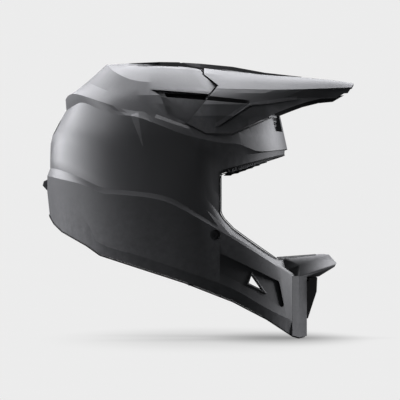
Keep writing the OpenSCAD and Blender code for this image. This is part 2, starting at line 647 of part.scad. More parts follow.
// The foam liner, in the side view, and the foam of the chin bar
eps_shares = [[-0.5, 0.55], [-0.5, 0.05], [-0.44, 0.02], [-0.37, 0.014], [-0.3, -0.043], [-0.21, -0.1], [-0.165, -0.1],
    [-0.15, -0.035], [0.195, -0.035], [0.2, 0.11], [0.44, 0.18], [0.5, 0.24], [0.5, 0.55]];
chin_eps_shares = [[0.228, -0.103], [0.24, -0.118], [0.27, -0.14], [0.32, -0.17], [0.43, -0.235],
    [0.56, -0.25], [0.56, -0.475], [0.48, -0.46], [0.38, -0.41], [0.26, -0.353], [0.228, -0.337]];
channel_w = 10;
channel_shares = [[0.34, 0.3], [0.15, 0.385], [-0.1, 0.385], [-0.3, 0.28]];
module eps_form() difference() {
    core_body(seat_gap);
    core_body(liner_t);
    difference() {
        cube([shell_l * 3, shell_w * 3, shell_h * 3], center = true);
        across() polygon(side_outline(eps_shares));
    }
    // Air channels from the brow to the back
    for (y = [-0.36, -0.12, 0.12, 0.36]) for (i = [0:2]) hull() for (k = [i, i + 1])
        translate([channel_shares[k][0] * shell_l, y * half_w, channel_shares[k][1] * shell_h])
            sphere(d = channel_w, $fn = 8);
    for (side = [-1, 1]) {
        hinge_pocket(side, 0);
        rear_vent_hole(side, 0);
    }
}
// The liner is bonded from four blocks that meet at the middle plane and over the ears
bond_gap = 0.2;
module eps_block(end, side) color("#2a2a2a") intersection() {
    eps_form();
    translate([end * (shell_l + bond_gap) / 2, side * (shell_w + bond_gap) / 2, 0])
        cube([shell_l, shell_w, shell_h * 2], center = true);
}
module eps_front_right() eps_block(1, -1);
module eps_front_left() eps_block(1, 1);
module eps_rear_right() eps_block(-1, -1);
module eps_rear_left() eps_block(-1, 1);
module chin_eps_liner() {
    color("#2a2a2a") difference() {
        core_body(seat_gap);
        core_body(chin_liner_t);
        difference() {
            cube([shell_l * 3, shell_w * 3, shell_h * 3], center = true);
            across() polygon(side_outline(chin_eps_shares));
        }
        mouth_hole(seat_gap);
        for (side = [-1, 1]) aside(side) offset(delta = seat_gap) polygon(side_outline(chin_hole_shares));
        // Breathing slots behind the mouth vent
        for (side = [-1, 1], i = [0:3]) hull() for (k = [0, 1])
            translate([shell_l * 0.4, side * half_w * 0.4, -shell_h * (0.3 + 0.03 * i) - k * shell_h * 0.01])
                rotate([0, 0, side * duct_turn]) cube([shell_l / 8, mesh_hole, mesh_hole], center = true);
    }
}

// A point of the inner face at an angle and a height, drawn in by a length
function core_place(z, i = 0) =
    (i >= len(core_ring_shares) - 2 || z < core_ring_shares[i + 1][5] * shell_h) ? i : core_place(z, i + 1);
function core_point(a, z, d) =
    let (i = core_place(z), r = core_ring_shares[i], q = core_ring_shares[i + 1],
        s = (z - r[5] * shell_h) / ((q[5] - r[5]) * shell_h), m = [for (k = [0:7]) r[k] + s * (q[k] - r[k])],
        x = plan_x(m, a), w = d * cos(m[6] * quarter) + m[7] * ridge_d * port_lean(x),
        p = drawn_in(x * shell_l, plan_y(m, a) * half_w, w))
    [p[0], p[1], z - d * sin(m[6] * quarter)];

// A soft pad lying on the liner: an oval patch of angles and heights with a crowned face
pad_round = 16;
pad_steps_shares = [[0.04, 0], [0.5, 0], [0.85, 0], [0.98, 0.06], [1, 0.4], [0.95, 0.75], [0.82, 0.95],
    [0.5, 1], [0.04, 1.06]];
module patch_pad(a0, a1, z0, z1, base, t) {
    loft([for (q = pad_steps_shares) [for (j = [0:pad_round - 1])
        let (b = -j * turn / pad_round, u = q[0] * power(cos(b), 0.45), v = q[0] * power(sin(b), 0.45))
        core_point((a0 + a1) / 2 + u * (a1 - a0) / 2, (z0 + z1) / 2 + v * (z1 - z0) / 2, base + q[1] * t)]]);
}
pad_base = liner_t + seat_gap;
module crown_pads() color("#303236") {
    for (a = [-60, 0, 60, 120, 180, 240])
        patch_pad(a - crown_petal, a + crown_petal, 0.345 * shell_h, 0.44 * shell_h, pad_base, pad_t);
}
crown_petal = 22;
brow_pad_turn = 58;
nape_pad_turn = 42;
module brow_pad() color("#303236")
    patch_pad(-brow_pad_turn, brow_pad_turn, 0.19 * shell_h, 0.3 * shell_h, pad_base, pad_t);
// The knitted strip under the brow, which shows along the top of the face port
brow_low_shares = [[0.19, 0.078], [0.24, 0.084], [0.34, 0.114], [0.42, 0.14], [0.46, 0.152]];
brow_high_shares = [[0.19, 0.098], [0.44, 0.168], [0.5, 0.182]];
brow_strip_t = 7;
brow_strip_turn = 59;
module brow_strip() color("#303236") loft([for (i = [0:neck_steps])
    let (u = 1 - 2 * i / neck_steps, a = u * brow_strip_turn, e = pow(1 - pow(abs(u), 8), 1 / 4),
        x0 = core_point(a, 0.15 * shell_h, 0)[0] / shell_l,
        zl = line_at(brow_low_shares, x0, 1) * shell_h, zh = line_at(brow_high_shares, x0, 1) * shell_h - seat_gap)
    [for (j = [0:neck_round - 1])
        let (b = j * turn / neck_round, c = power(cos(b), 0.4), v = power(sin(b), 0.5))
        core_point(a, (zl + zh) / 2 + v * (zh - zl) / 2 * (0.5 + 0.5 * e),
            trim_stand + seat_gap + brow_strip_t / 2 * (1 - c) * (0.4 + 0.6 * e))]]);
module nape_pad() color("#303236")
    patch_pad(half - nape_pad_turn, half + nape_pad_turn, 0.07 * shell_h, 0.26 * shell_h, pad_base, pad_t);

// Cheek pads: cross sections from back to front, flat on the shell and crowned inside
cheek_back_share = -0.145;
cheek_front_share = 0.12;
cheek_top_share = -0.042;
cheek_lift = 7;
cheek_steps = 14;
cheek_round = 24;
function core_half(x, z) =
    let (i = core_place(z), r = core_ring_shares[i], q = core_ring_shares[i + 1],
        s = (z - r[5] * shell_h) / ((q[5] - r[5]) * shell_h),
        f = (x > 0 ? r[0] + s * (q[0] - r[0]) : r[1] + s * (q[1] - r[1])) * shell_l,
        w = (r[2] + s * (q[2] - r[2])) * half_w, n = x > 0 ? r[3] : r[4],
        lean = (r[7] + s * (q[7] - r[7])) * ridge_d * port_lean(x / shell_l))
    w * pow(1 - pow(abs(x) / f, n), 1 / n) - lean;
function cheek_ring(u, side) =
    let (x = (cheek_back_share + (cheek_front_share - cheek_back_share) * u) * shell_l,
        e = pow(1 - pow(abs(2 * u - 1), 4), 1 / 3),
        zl = line_at(hem_shares, x / shell_l, 1) * shell_h + cheek_lift, zh = cheek_top_share * shell_h,
        zm = (zl + zh) / 2, h = (zh - zl) / 2 * (0.55 + 0.45 * e),
        groove = 1 - 0.12 * (abs(u - 0.5) < 0.08 ? 1 : 0))
    [for (j = [0:cheek_round - 1])
        let (b = j * turn / cheek_round, c = power(cos(b), 0.5), v = power(sin(b), 0.6), z = zm + h * v,
            y = core_half(x, z) - cheek_gap - cheek_round_in * (1 - max(c, 0))
                - cheek_pad_t * groove * (0.2 + 0.8 * e) * max(-c, 0))
        [x, side * y, z]];
cheek_gap = 1;
cheek_round_in = 2;
module cheek_pad(side) color("#26282b") {
    r = [for (i = [0:cheek_steps]) cheek_ring(i / cheek_steps, side)];
    loft(side > 0 ? r : [for (i = [cheek_steps:-1:0]) r[i]]);
}
module cheek_pad_right() cheek_pad(-1);
module cheek_pad_left() cheek_pad(1);

// The neck roll inside the lower edge at the back
neck_half_angle = 62;
neck_roll_t = 17;
neck_roll_h = 20;
neck_lift = 5;
neck_steps = 22;
neck_round = 14;
module neck_roll() color("#26282b") loft([for (i = [0:neck_steps])
    let (u = 1 - 2 * i / neck_steps, a = half + u * neck_half_angle, e = pow(1 - pow(abs(u), 6), 1 / 3),
        x0 = core_point(a, 0, 0)[0] / shell_l, zl = line_at(hem_shares, x0, 1) * shell_h + neck_lift,
        rib = 1 - 0.08 * (i % 4 == 0 ? 1 : 0))
    [for (j = [0:neck_round - 1])
        let (b = j * turn / neck_round, c = power(cos(b), 0.6), v = power(sin(b), 0.7),
            h = neck_roll_h / 2 * (0.4 + 0.6 * e), d = seat_gap + neck_roll_t / 2 * (1 - c) * (0.3 + 0.7 * e) * rib)
        core_point(a, zl + neck_roll_h / 2 + h * v, d)]]);

module cheek_pad_snaps() color("#404244") for (side = [-1, 1], q = snap_x_shares)
    let (x = q * shell_l, z = snap_z_share * shell_h, y = core_half(x, z),
        slope = (core_half(x + snap_d / 2, z) - core_half(x - snap_d / 2, z)) / snap_d)
    translate([x, side * (y - snap_gap), z]) rotate([side * quarter, 0, side * atan(slope)])
        cylinder(h = snap_l, d = snap_d, $fn = 32);
snap_x_shares = [-0.09, -0.015, 0.06];
snap_z_share = -0.14;
snap_d = 8;
snap_l = 0.5;
snap_gap = 0.35;

// Hinge of the visor
module hinge_bore(side, d) translate([hinge_x, side * hinge_y, hinge_z]) rotate([quarter, 0, 0])
    cylinder(h = bracket_w * 3, d = d, center = true, $fn = 48);
module visor_hinge_lugs() color("#3a3c3e") for (side = [-1, 1]) difference() {
    union() {
        intersection() {
            translate([hinge_x, side * hinge_y, hinge_z]) rotate([quarter, 0, 0])
                cylinder(h = lug_w, r = lug_r, center = true, $fn = 48);
            translate([0, 0, boss_z - shell_h]) cube([shell_l, shell_w * 2, shell_h * 2], center = true);
        }
        translate([hinge_x - boss_back, side * hinge_y - lug_w / 2, hinge_z])
            cube([lug_r + boss_back, lug_w, boss_z - hinge_z]);
        translate([hinge_x, side * hinge_y - lug_w / 2, hinge_z + lug_step])
            cube([boss_l - boss_back, lug_w, boss_z - hinge_z - lug_step]);
    }
    hinge_bore(side, hinge_pin_d + 2 * run_fit);
}
module visor_hinge_brackets() color("#6a6c6e") for (side = [-1, 1]) difference() {
    translate([hinge_x - bracket_back, side * hinge_y - bracket_w / 2, hinge_z - bracket_low])
        cube([bracket_back + bracket_front, bracket_w, bracket_low + bracket_top]);
    translate([hinge_x - bracket_back - overrun, side * hinge_y - lug_w / 2 - hinge_side_gap, hinge_z - lug_r - lug_step])
        cube([shell_l, lug_w + 2 * hinge_side_gap, shell_h]);
    hinge_bore(side, hinge_pin_d + 2 * run_fit);
}
module visor_hinge_pins() color("#b0b2b4") for (side = [-1, 1])
    translate([hinge_x, side * hinge_y, hinge_z]) rotate([quarter, 0, 0])
        cylinder(h = bracket_w, d = hinge_pin_d, center = true, $fn = 48);

// Friction lock under the visor: a slotted web between two ears
module visor_web() color("#3a3c3e") difference() {
    translate([web_x - web_l / 2, -web_t / 2, web_low_z]) cube([web_l, web_t, web_top_z - web_low_z]);
    intersection() {
        translate([hinge_x, 0, hinge_z]) rotate([quarter, 0, 0]) difference() {
            cylinder(h = web_t * 2, r = lock_r + lock_d / 2 + slot_gap, center = true, $fn = 96);
            cylinder(h = web_t * 3, r = lock_r - lock_d / 2 - slot_gap, center = true, $fn = 96);
        }
        translate([web_x - web_l / 2, -web_t, lock_z - lock_r * sin(visor_tilt) - lock_d / 2 - slot_gap])
            cube([web_l, web_t * 2, lock_r * sin(visor_tilt) + lock_d + 2 * slot_gap]);
    }
}
module visor_lock_bracket() color("#6a6c6e") difference() {
    union() {
        for (side = [-1, 1]) translate([web_x - ear_back, side * (web_t / 2 + ear_gap + ear_t / 2) - ear_t / 2, lock_base_z])
            cube([ear_back * 2, ear_t, lock_z + ear_top - lock_base_z]);
        translate([web_x - ear_back, -web_t / 2 - ear_gap - ear_t, lock_base_z])
            cube([ear_back * 2, web_t + 2 * ear_gap + 2 * ear_t, lock_plate_t]);
    }
    translate([web_x, 0, lock_z]) rotate([quarter, 0, 0]) cylinder(h = shell_w, d = lock_d + 2 * run_fit, center = true, $fn = 48);
}
ear_out = web_t / 2 + ear_gap + ear_t;
knob_d = 11;
knob_l = 7;
knob_flute_d = 3;
nut_l = 4;
lock_nut_w = 8.4;
lock_nut_h = 7;
module visor_lock_screw() color("#8a8c8e") {
    translate([web_x, 0, lock_z]) rotate([quarter, 0, 0]) {
        translate([0, 0, -ear_out - nut_l]) cylinder(h = 2 * ear_out + nut_l + ear_gap + seat_gap, d = lock_d, $fn = 48);
        translate([0, 0, ear_out + ear_gap]) difference() {
            cylinder(h = knob_l, d = knob_d, $fn = 48);
            for (i = [0:5]) rotate([0, 0, i * turn / 6]) translate([knob_d / 2 + knob_flute_d / 5, 0, -overrun])
                cylinder(h = knob_l + 2 * overrun, d = knob_flute_d, $fn = 24);
        }
    }
}
module visor_lock_nut() color("#b0b2b4") translate([web_x, ear_out, lock_z]) rotate([-quarter, 0, 0]) difference() {
    translate([-lock_nut_w / 2, -lock_nut_h / 2, 0]) cube([lock_nut_w, lock_nut_h, nut_l]);
    translate([0, 0, -overrun]) cylinder(h = nut_l + 2 * overrun, d = lock_d + 2 * run_fit, $fn = 48);
}

// The stack at each side: screw head, shell, strap end, steel plate and nut
anchor_turn = 28;
anchor_half = core_half(screw_x, screw_z);
head_sink = 2;
head_h = 3;
plate_t = 1.6;
plate_l = 17;
plate_h = 26;
nut_d = 9;
stack_gap = 0.1;
strap_in = 2.1;
shell_at_screw = half_w * 0.9385;
// Places the children at the wall's inner face by a side screw, with Z pointing outwards
module at_anchor(side) translate([screw_x, side * anchor_half, screw_z]) rotate([0, 0, side * (quarter - anchor_turn)])
    rotate([0, quarter, 0]) children();
head_out = (shell_at_screw - anchor_half) * cos(anchor_turn) - head_sink;
stack_in = strap_in + strap_t + plate_t + 2 * stack_gap + nut_l;
module side_screws() color("#202224") for (side = [-1, 1]) at_anchor(side) {
    translate([0, 0, head_out - head_h]) difference() {
        cylinder(h = head_h, d = screw_head_d, $fn = 48);
        translate([0, 0, head_h / 2]) cylinder(h = head_h, d = screw_head_d * 0.46, $fn = 6);
    }
    translate([0, 0, -stack_in]) cylinder(h = stack_in + head_out - head_h, d = screw_shank_d, $fn = 48);
}
module side_screw_washers() color("#101010") for (side = [-1, 1]) at_anchor(side)
    translate([0, 0, -strap_in + stack_gap]) difference() {
        cylinder(h = strap_in + head_out - head_h - 2 * stack_gap, d = screw_hole_d - 2 * stack_gap, $fn = 48);
        translate([0, 0, -overrun]) cylinder(h = shell_w, d = screw_shank_d + 2 * run_fit, $fn = 48);
    }
module strap_anchors() color("#9a9c9e") for (side = [-1, 1]) at_anchor(side)
    translate([0, 0, -strap_in - strap_t - stack_gap - plate_t]) difference() {
        translate([-plate_h / 4, -plate_l / 2, 0]) cube([plate_h, plate_l, plate_t]);
        translate([0, 0, -overrun]) cylinder(h = shell_w, d = screw_shank_d + 2 * run_fit, $fn = 48);
    }
module side_screw_nuts() color("#8a8c8e") for (side = [-1, 1]) at_anchor(side)
    translate([0, 0, -stack_in]) difference() {
        cylinder(h = nut_l, d = nut_d, $fn = 6);
        translate([0, 0, -overrun]) cylinder(h = shell_w, d = screw_shank_d + 2 * run_fit, $fn = 48);
    }

// Straps: flat ribbons from the anchors down inside the wall and in under the chin
strap_z = -shell_h * 0.277;
strap_x = shell_l * 0.133;
strap_y = half_w * 0.3;
strap_end_y = 2;
buckle_y = half_w * 0.42;
function anchor_at(u, v) = [screw_x - u * sin(anchor_turn), anchor_half - u * cos(anchor_turn), screw_z + v];
strap_mid = strap_in + strap_t / 2;
function strap_way(end_y) = [
    [anchor_at(strap_mid, strap_w * 0.3), anchor_turn], [anchor_at(strap_mid, -strap_w * 1.2), anchor_turn],
    [anchor_at(strap_mid + strap_t, -strap_w * 1.6), anchor_turn * 0.95],
    [anchor_at(strap_mid + strap_t * 4, -strap_w * 1.92), anchor_turn * 0.8],
    [[strap_x + strap_w * 0.1, half_w * 0.6, strap_z + strap_t / 2], anchor_turn * 0.4],
    [[strap_x, half_w * 0.5, strap_z], 0], [[strap_x, end_y, strap_z], 0]];
function strap_ring(p, i, side, w, t) =
    let (a = p[max(i - 1, 0)][0], b = p[min(i + 1, len(p) - 1)][0], c = p[i][0],
        g = p[i][1], across_v = [cos(g), -sin(g), 0], along = (b - a) / norm(b - a),
        up = cross(across_v, along), n = up / norm(up))
    [for (q = [[-1, -1], [1, -1], [1, 1], [-1, 1]])
        let (v = c + across_v * q[0] * w / 2 + n * q[1] * t / 2) [v[0], side * v[1], v[2]]];
module ribbon(p, side, w, t) {
    r = [for (i = [0:len(p) - 1]) strap_ring(p, i, side, w, t)];
    loft(side < 0 ? r : [for (i = [len(r) - 1:-1:0]) r[i]]);
}
module strap(side, end_y) color("#1c1c1e") difference() {
    ribbon(strap_way(end_y), side, strap_w, strap_t);
    at_anchor(side) translate([0, 0, -shell_w / 8]) cylinder(h = shell_w / 4, d = screw_shank_d + 2 * run_fit, $fn = 48);
}
module strap_right() difference() {
    strap(-1, -strap_end_y);
    for (x = [-1, 1]) translate([strap_x + x * rivet_x, -tongue_rivet_y, 0])
        cylinder(h = shell_h * 2, d = rivet_d + 2 * run_fit, center = true, $fn = 32);
}
module strap_left() difference() {
    strap(1, buckle_y);
    for (x = [-1, 1]) translate([strap_x + x * rivet_x, buckle_rivet_y, 0])
        cylinder(h = shell_h * 2, d = rivet_d + 2 * run_fit, center = true, $fn = 32);
}
rivet_d = 3;
rivet_x = 4;
tongue_rivet_y = 8;

// Ratchet buckle: a channel with two ears, a toothed tongue and a lever on a pin
tongue_w = 13;
tongue_t = 2;
tongue_tip_y = 42;
tongue_z = strap_z - strap_t / 2 - stack_gap - tongue_t;
tooth_l = 3;
teeth = 7;
body_t = 1.6;
body_z = strap_z + strap_t / 2 + stack_gap;
body_w = strap_w + 2 * body_t;
body_y0 = 12;
body_y1 = half_w * 0.5;
buckle_rivet_y = half_w * 0.455;
ear_y0 = 16;
ear_y1 = 32;
pivot_y = 20;
pivot_drop = 4;
pivot_z = tongue_z - pivot_drop;
pivot_d = 3;
ear_low = pivot_z - pivot_d;
module ratchet_tongue() color("#3a3c3e") difference() {
    translate([strap_x - tongue_w / 2, -tongue_rivet_y * 2, tongue_z]) cube([tongue_w, tongue_tip_y + tongue_rivet_y * 2, tongue_t]);
    for (i = [0:teeth - 1]) translate([strap_x - tongue_w / 2 - overrun, tongue_tip_y - tooth_l * (i + 2), tongue_z])
        rotate([quarter, 0, quarter]) linear_extrude(tongue_w + 2 * overrun)
            polygon([[0, -overrun], [tooth_l, -overrun], [tooth_l, 0], [0, tongue_t * 0.4]]);
    for (x = [-1, 1]) translate([strap_x + x * rivet_x, -tongue_rivet_y, 0])
        cylinder(h = shell_h * 2, d = rivet_d + 2 * run_fit, center = true, $fn = 32);
}
module pivot_bore(d) translate([strap_x, pivot_y, pivot_z]) rotate([0, quarter, 0])
    cylinder(h = body_w * 2, d = d, center = true, $fn = 40);
module buckle_body() color("#5a5c5e") difference() {
    union() {
        translate([strap_x - body_w / 2, body_y0, body_z]) cube([body_w, body_y1 - body_y0, body_t]);
        for (side = [-1, 1]) translate([strap_x + side * (body_w - body_t) / 2 - body_t / 2, ear_y0, ear_low])
            cube([body_t, ear_y1 - ear_y0, body_z + body_t - ear_low]);
    }
    pivot_bore(pivot_d + 2 * run_fit);
    for (x = [-1, 1]) translate([strap_x + x * rivet_x, buckle_rivet_y, 0])
        cylinder(h = shell_h * 2, d = rivet_d + 2 * run_fit, center = true, $fn = 32);
}
lever_side_gap = 0.4;
lever_w = strap_w - 2 * lever_side_gap;
lever_l = 27;
lever_h = 6;
lever_shares = [[-0.104, -0.467], [0.926, -0.467], [1, -0.233], [0.963, 0.067], [0.333, 0.067], [0.089, 0.567],
    [0.037, 0.467], [-0.104, 0.467]];
module buckle_lever() color("#2c2e30") difference() {
    translate([strap_x - lever_w / 2, pivot_y, pivot_z]) rotate([quarter, 0, quarter]) linear_extrude(lever_w)
        polygon([for (q = lever_shares) [q[0] * lever_l, q[1] * lever_h]]);
    pivot_bore(pivot_d + 2 * run_fit);
}
module buckle_pin() color("#b0b2b4") translate([strap_x, pivot_y, pivot_z]) rotate([0, quarter, 0])
    cylinder(h = body_w, d = pivot_d, center = true, $fn = 40);
rivet_head_d = 5.6;
rivet_head_h = 0.9;
module rivet(x, y, low, top) translate([x, y, 0]) {
    translate([0, 0, low]) cylinder(h = top - low, d = rivet_d, $fn = 32);
    translate([0, 0, top]) cylinder(h = rivet_head_h, d = rivet_head_d, $fn = 32);
    translate([0, 0, low - rivet_head_h]) cylinder(h = rivet_head_h, d = rivet_head_d, $fn = 32);
}
module tongue_rivets() color("#9a9c9e") for (x = [-1, 1])
    rivet(strap_x + x * rivet_x, -tongue_rivet_y, tongue_z - stack_gap / 2, strap_z + strap_t / 2 + stack_gap / 2);
module buckle_rivets() color("#9a9c9e") for (x = [-1, 1])
    rivet(strap_x + x * rivet_x, buckle_rivet_y, strap_z - strap_t / 2 - stack_gap / 2, body_z + body_t + stack_gap / 2);

// Soft pad between the buckle and the throat
strap_pad_l = 62;
strap_pad_w = 26;
strap_pad_t = 5;
strap_pad_steps_shares = [[0.05, 0], [0.6, 0], [0.92, 0], [1, 0.3], [0.98, 0.6], [0.85, 0.9], [0.5, 1], [0.05, 1.04]];
module strap_pad() color("#26282b") translate([strap_x, strap_pad_y, body_z + body_t + stack_gap + rivet_head_h + seat_gap])
    loft([for (q = strap_pad_steps_shares) [for (j = [0:pad_round - 1]) let (b = j * turn / pad_round)
        [q[0] * power(cos(b), 0.5) * strap_pad_w / 2, q[0] * power(sin(b), 0.5) * strap_pad_l / 2, q[1] * strap_pad_t]]]);
strap_pad_y = 28;

outer_shell();
port_edge_trim();
neck_edge_trim();
mouth_vent_insert();
mouth_vent_mesh();
side_vent_duct_right();
side_vent_duct_left();
brow_vent_inserts();
rear_vent_mesh();
eps_front_right();
eps_front_left();
eps_rear_right();
eps_rear_left();
chin_eps_liner();
crown_pads();
brow_pad();
brow_strip();
nape_pad();
cheek_pad_right();
cheek_pad_left();
neck_roll();
cheek_pad_snaps();
visor();
visor_hinge_lugs();
visor_web();
visor_hinge_brackets();
visor_hinge_pins();
visor_lock_bracket();
visor_lock_screw();
visor_lock_nut();
side_screws();
side_screw_washers();
side_screw_nuts();
strap_right();
strap_left();
strap_anchors();
strap_pad();
ratchet_tongue();
buckle_body();
buckle_lever();
buckle_pin();
tongue_rivets();
buckle_rivets();
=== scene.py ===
import json
import math
from collections import namedtuple

import bmesh
import bpy
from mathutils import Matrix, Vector
from mathutils.bvhtree import BVHTree

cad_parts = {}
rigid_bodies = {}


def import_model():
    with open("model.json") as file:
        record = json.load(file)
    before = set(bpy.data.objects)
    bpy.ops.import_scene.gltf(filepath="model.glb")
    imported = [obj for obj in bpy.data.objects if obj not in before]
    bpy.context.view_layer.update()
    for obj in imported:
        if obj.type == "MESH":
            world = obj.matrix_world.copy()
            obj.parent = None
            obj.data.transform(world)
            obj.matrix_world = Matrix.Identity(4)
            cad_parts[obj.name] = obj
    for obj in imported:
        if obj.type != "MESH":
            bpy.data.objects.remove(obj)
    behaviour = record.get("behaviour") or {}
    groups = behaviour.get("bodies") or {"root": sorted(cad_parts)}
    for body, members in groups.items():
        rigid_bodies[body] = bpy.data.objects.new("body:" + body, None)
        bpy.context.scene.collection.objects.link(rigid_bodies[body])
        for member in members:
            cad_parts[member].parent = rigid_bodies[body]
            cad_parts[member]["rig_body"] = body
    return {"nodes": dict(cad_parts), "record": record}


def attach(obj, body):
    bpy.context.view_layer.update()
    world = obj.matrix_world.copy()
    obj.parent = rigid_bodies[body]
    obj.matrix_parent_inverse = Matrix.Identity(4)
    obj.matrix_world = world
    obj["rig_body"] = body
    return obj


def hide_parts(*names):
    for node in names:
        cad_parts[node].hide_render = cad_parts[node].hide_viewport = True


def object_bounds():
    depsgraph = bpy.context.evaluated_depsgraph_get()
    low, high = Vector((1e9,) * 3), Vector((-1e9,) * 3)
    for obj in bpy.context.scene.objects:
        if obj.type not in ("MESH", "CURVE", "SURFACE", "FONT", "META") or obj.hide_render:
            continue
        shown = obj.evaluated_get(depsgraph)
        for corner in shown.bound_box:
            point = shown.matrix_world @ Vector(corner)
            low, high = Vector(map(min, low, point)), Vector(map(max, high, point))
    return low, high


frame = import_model()
CAD_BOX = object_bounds()
SLOT_OF = {s["node"]: s["material_slot"] for s in frame["record"]["subparts"]}
MM = 0.001

bl_info = {
    "name": "Full Face Helmet Dresser",
    "version": (1, 0, 0),
    "blender": (4, 5, 0),
    "location": "3D View > Sidebar > Helmet",
    "description": "Dresses the packed helmet with smooth shells, padding, trims and finishes",
    "category": "Object",
}

# Folds sharper than these stay crisp: on plastic and metal, then on rubber and webbing
HARD_FOLD = math.radians(30)
SOFT_FOLD = math.radians(40)
# Folds that climb the shell and the visor have an angle of their own
UPRIGHT_FOLD = math.radians(22)
# A fold climbs when less than this share of it runs round the head
UPRIGHT_SHARE = 0.55
# Boxes in the side view, each with its two corners and its own angle in degrees: the beak blends
# softly into the chin bar, and the rear quarter has no fold across its middle
SOFT_BOXES = (((0.118, -0.084), (1.0, -0.054), 62.0), ((-1.0, 0.045), (-0.03, 0.083), 30.0))

# Corners of the solids closer than this are joined
WELD = 0.01 * MM
# Rounded edges of small parts, of the webbing and of the larger parts
FINE_ROUND = 0.3 * MM
WEB_ROUND = 0.4 * MM
BOLD_ROUND = 0.5 * MM
ROUND_FACETS = 2

# Millimetres that the port's bead and the pads' solids are drawn in
BEAD_DRAW = 0.5
PAD_DRAW = 0.8

# The crown rib's edge: how far out it lies on each side, where it ends, and how far it leans in
RIB_EDGE = (9.0 * MM, 11.2 * MM)
RIB_END = 16.0 * MM
RIB_LEAN = 0.5
# A face is one of the rib's walls when its normal points sideways and up by more than these
WALL_ASIDE = 0.8
WALL_UP = 0.2
# The visor's tail: what lies behind and above these is drawn forward by so much
TAIL_END = 19.5 * MM
TAIL_LOW = 130.0 * MM
TAIL_DRAW = 0.8 * MM

# The cloth that the pads' covers are blown up from, and the steps it is blown up in
CLOTH = {
    "quality": 4, "mass": 0.3, "tension_stiffness": 15, "compression_stiffness": 15,
    "bending_stiffness": 0.5, "use_pressure": True, "uniform_pressure_force": 4.0,
}
CLOTH_STEPS = 20
# How far a cover's point may move: on a pad, and on a thin strip
PAD_CAP = 3.0 * MM
STRIP_CAP = 1.0 * MM
# Spacing of the cloth on small pads and on thin strips
SMALL_VOXEL = 3.5 * MM
STRIP_VOXEL = 2.5 * MM
# Width of a sewn channel, and the depth and the places of those on the cheeks and round the neck
CHANNEL_W = 1.6 * MM
CHEEK_DEPTH = 2.2 * MM
CHEEK_CHANNELS = (-0.014, 0.012)
NECK_DEPTH = 2.0 * MM
NECK_CHANNELS = (-0.066, -0.034, 0.0, 0.034, 0.066)

# Facets in the side view, in millimetres: two ends, a width that is below the line where it is
# negative, how much it narrows, how far it leans the surface, and the width of its soft edge
Facet = namedtuple("Facet", "start end width taper slope edge")
SHELL_FACETS = (
    Facet(start=(-34.5, 86.0), end=(-21.0, 51.0), width=8.5, taper=1.0, slope=1.2, edge=0.4),
    Facet(start=(-8.5, 86.5), end=(27.5, 73.0), width=-4.0, taper=0.3, slope=0.9, edge=0.4),
    Facet(start=(-128.0, 31.0), end=(-30.0, -8.0), width=64.0, taper=0.0, slope=-0.26, edge=16.0),
)
VISOR_FACETS = (
    Facet(start=(43.0, 106.0), end=(88.5, 101.2), width=-5.0, taper=0.2, slope=-1.3, edge=0.4),
    Facet(start=(88.0, 98.5), end=(53.0, 71.0), width=5.0, taper=1.0, slope=1.2, edge=0.4),
    Facet(start=(36.0, 112.2), end=(240.0, 112.2), width=30.0, taper=0.0, slope=0.15, edge=0.6),
    Facet(start=(60.0, 112.2), end=(2460.0, 112.2), width=30.0, taper=0.0, slope=0.46, edge=0.6),
)
# A facet rises over a twentieth of its length at its start, and falls over its last eighth
FACET_RISE = 20.0
FACET_FALL = 8.0

# Edges start to lighten at this sharpness and lighten more at this rate
EDGE_LIGHT_ONSET = 0.515
EDGE_LIGHT_RATE = 14.0
# How deep the loops and the fuzz of a knit are, and the height that its loops rise and fall round
LOOP_SHARE = 0.35
FUZZ_SHARE = 0.5
LOOP_MIDDLE = 0.5
# A colour mix keeps its share, its two colours and its result in these sockets
MIX_INPUTS = (0, 6, 7)
MIX_RESULT = 2
# Tones of the slow noise between which a finish's sheen changes
TONE_SPAN = (0.3, 0.7)
# How much of a grain's height its cells are, and how wide a foam bead's flank is
CELL_SHARE = 0.6
BEAD_RATE = 6.0

# The studio's paper: how far it lies below the helmet, where it begins and where its bend
# starts, the bend's radius and facets, how high it stands, and its half width
PAPER_GAP = 0.0002
PAPER_NEAR = -3.2
PAPER_FAR = 2.0
PAPER_BEND = 1.2
PAPER_STEPS = 12
PAPER_RISE = 4.0
PAPER_HALF = 5.0
# Shade where the helmet stands close over the paper: reach, samples and depth
CONTACT_REACH = 0.1
CONTACT_SAMPLES = 16
CONTACT_DEPTH = 0.35
# Soft ovals of shade on the paper: place, reach and depth
POOLS = (((0.045, 0.0), (0.185, 0.6), 0.22), ((0.125, 0.0), (0.1, 0.36), 0.42))
# How much the paper's flecks vary its tone
FLECK = 0.01
# The light that reaches the helmet from all round, as a colour and a strength
DIM_COLOUR = (0.9, 0.95, 1.0)
DIM_STRENGTH = 0.06
# The soft lights: place, size and watts of each, their colour and what they are aimed at
LIGHTS = {
    "Rear softbox": ((-1.65, 0.26, 0.78), (2.6, 0.9), 108.0),
    "Front softbox": ((1.6, 0.62, 0.5), (0.9, 0.9), 46.0),
    "Top softbox": ((0.1, 0.95, 1.4), (2.4, 1.6), 84.0),
    "Overhead strip": ((0.35, -0.15, 1.7), (1.0, 0.5), 7.0),
    "Low fill": ((0.5, -1.7, -0.05), (0.7, 0.2), 0.8),
}
LIGHT_COLOUR = (0.955, 0.96, 1.0)
LIGHT_AIM = Vector((0.03, 0.0, 0.0))
# The camera: its place, its lens and sensor in millimetres, and how far it sees
CAMERA_PLACE = (0.03675, -3.7, -0.05)
CAMERA_LENS = 317.2
CAMERA_SENSOR = 36.0
CAMERA_REACH = 50.0


def length(name, description, default, least):
    """A length in millimetres that the panel shows"""
    return bpy.props.FloatProperty(
        name=name, description=description, default=default * MM, min=least * MM,
        subtype="DISTANCE", unit="LENGTH")


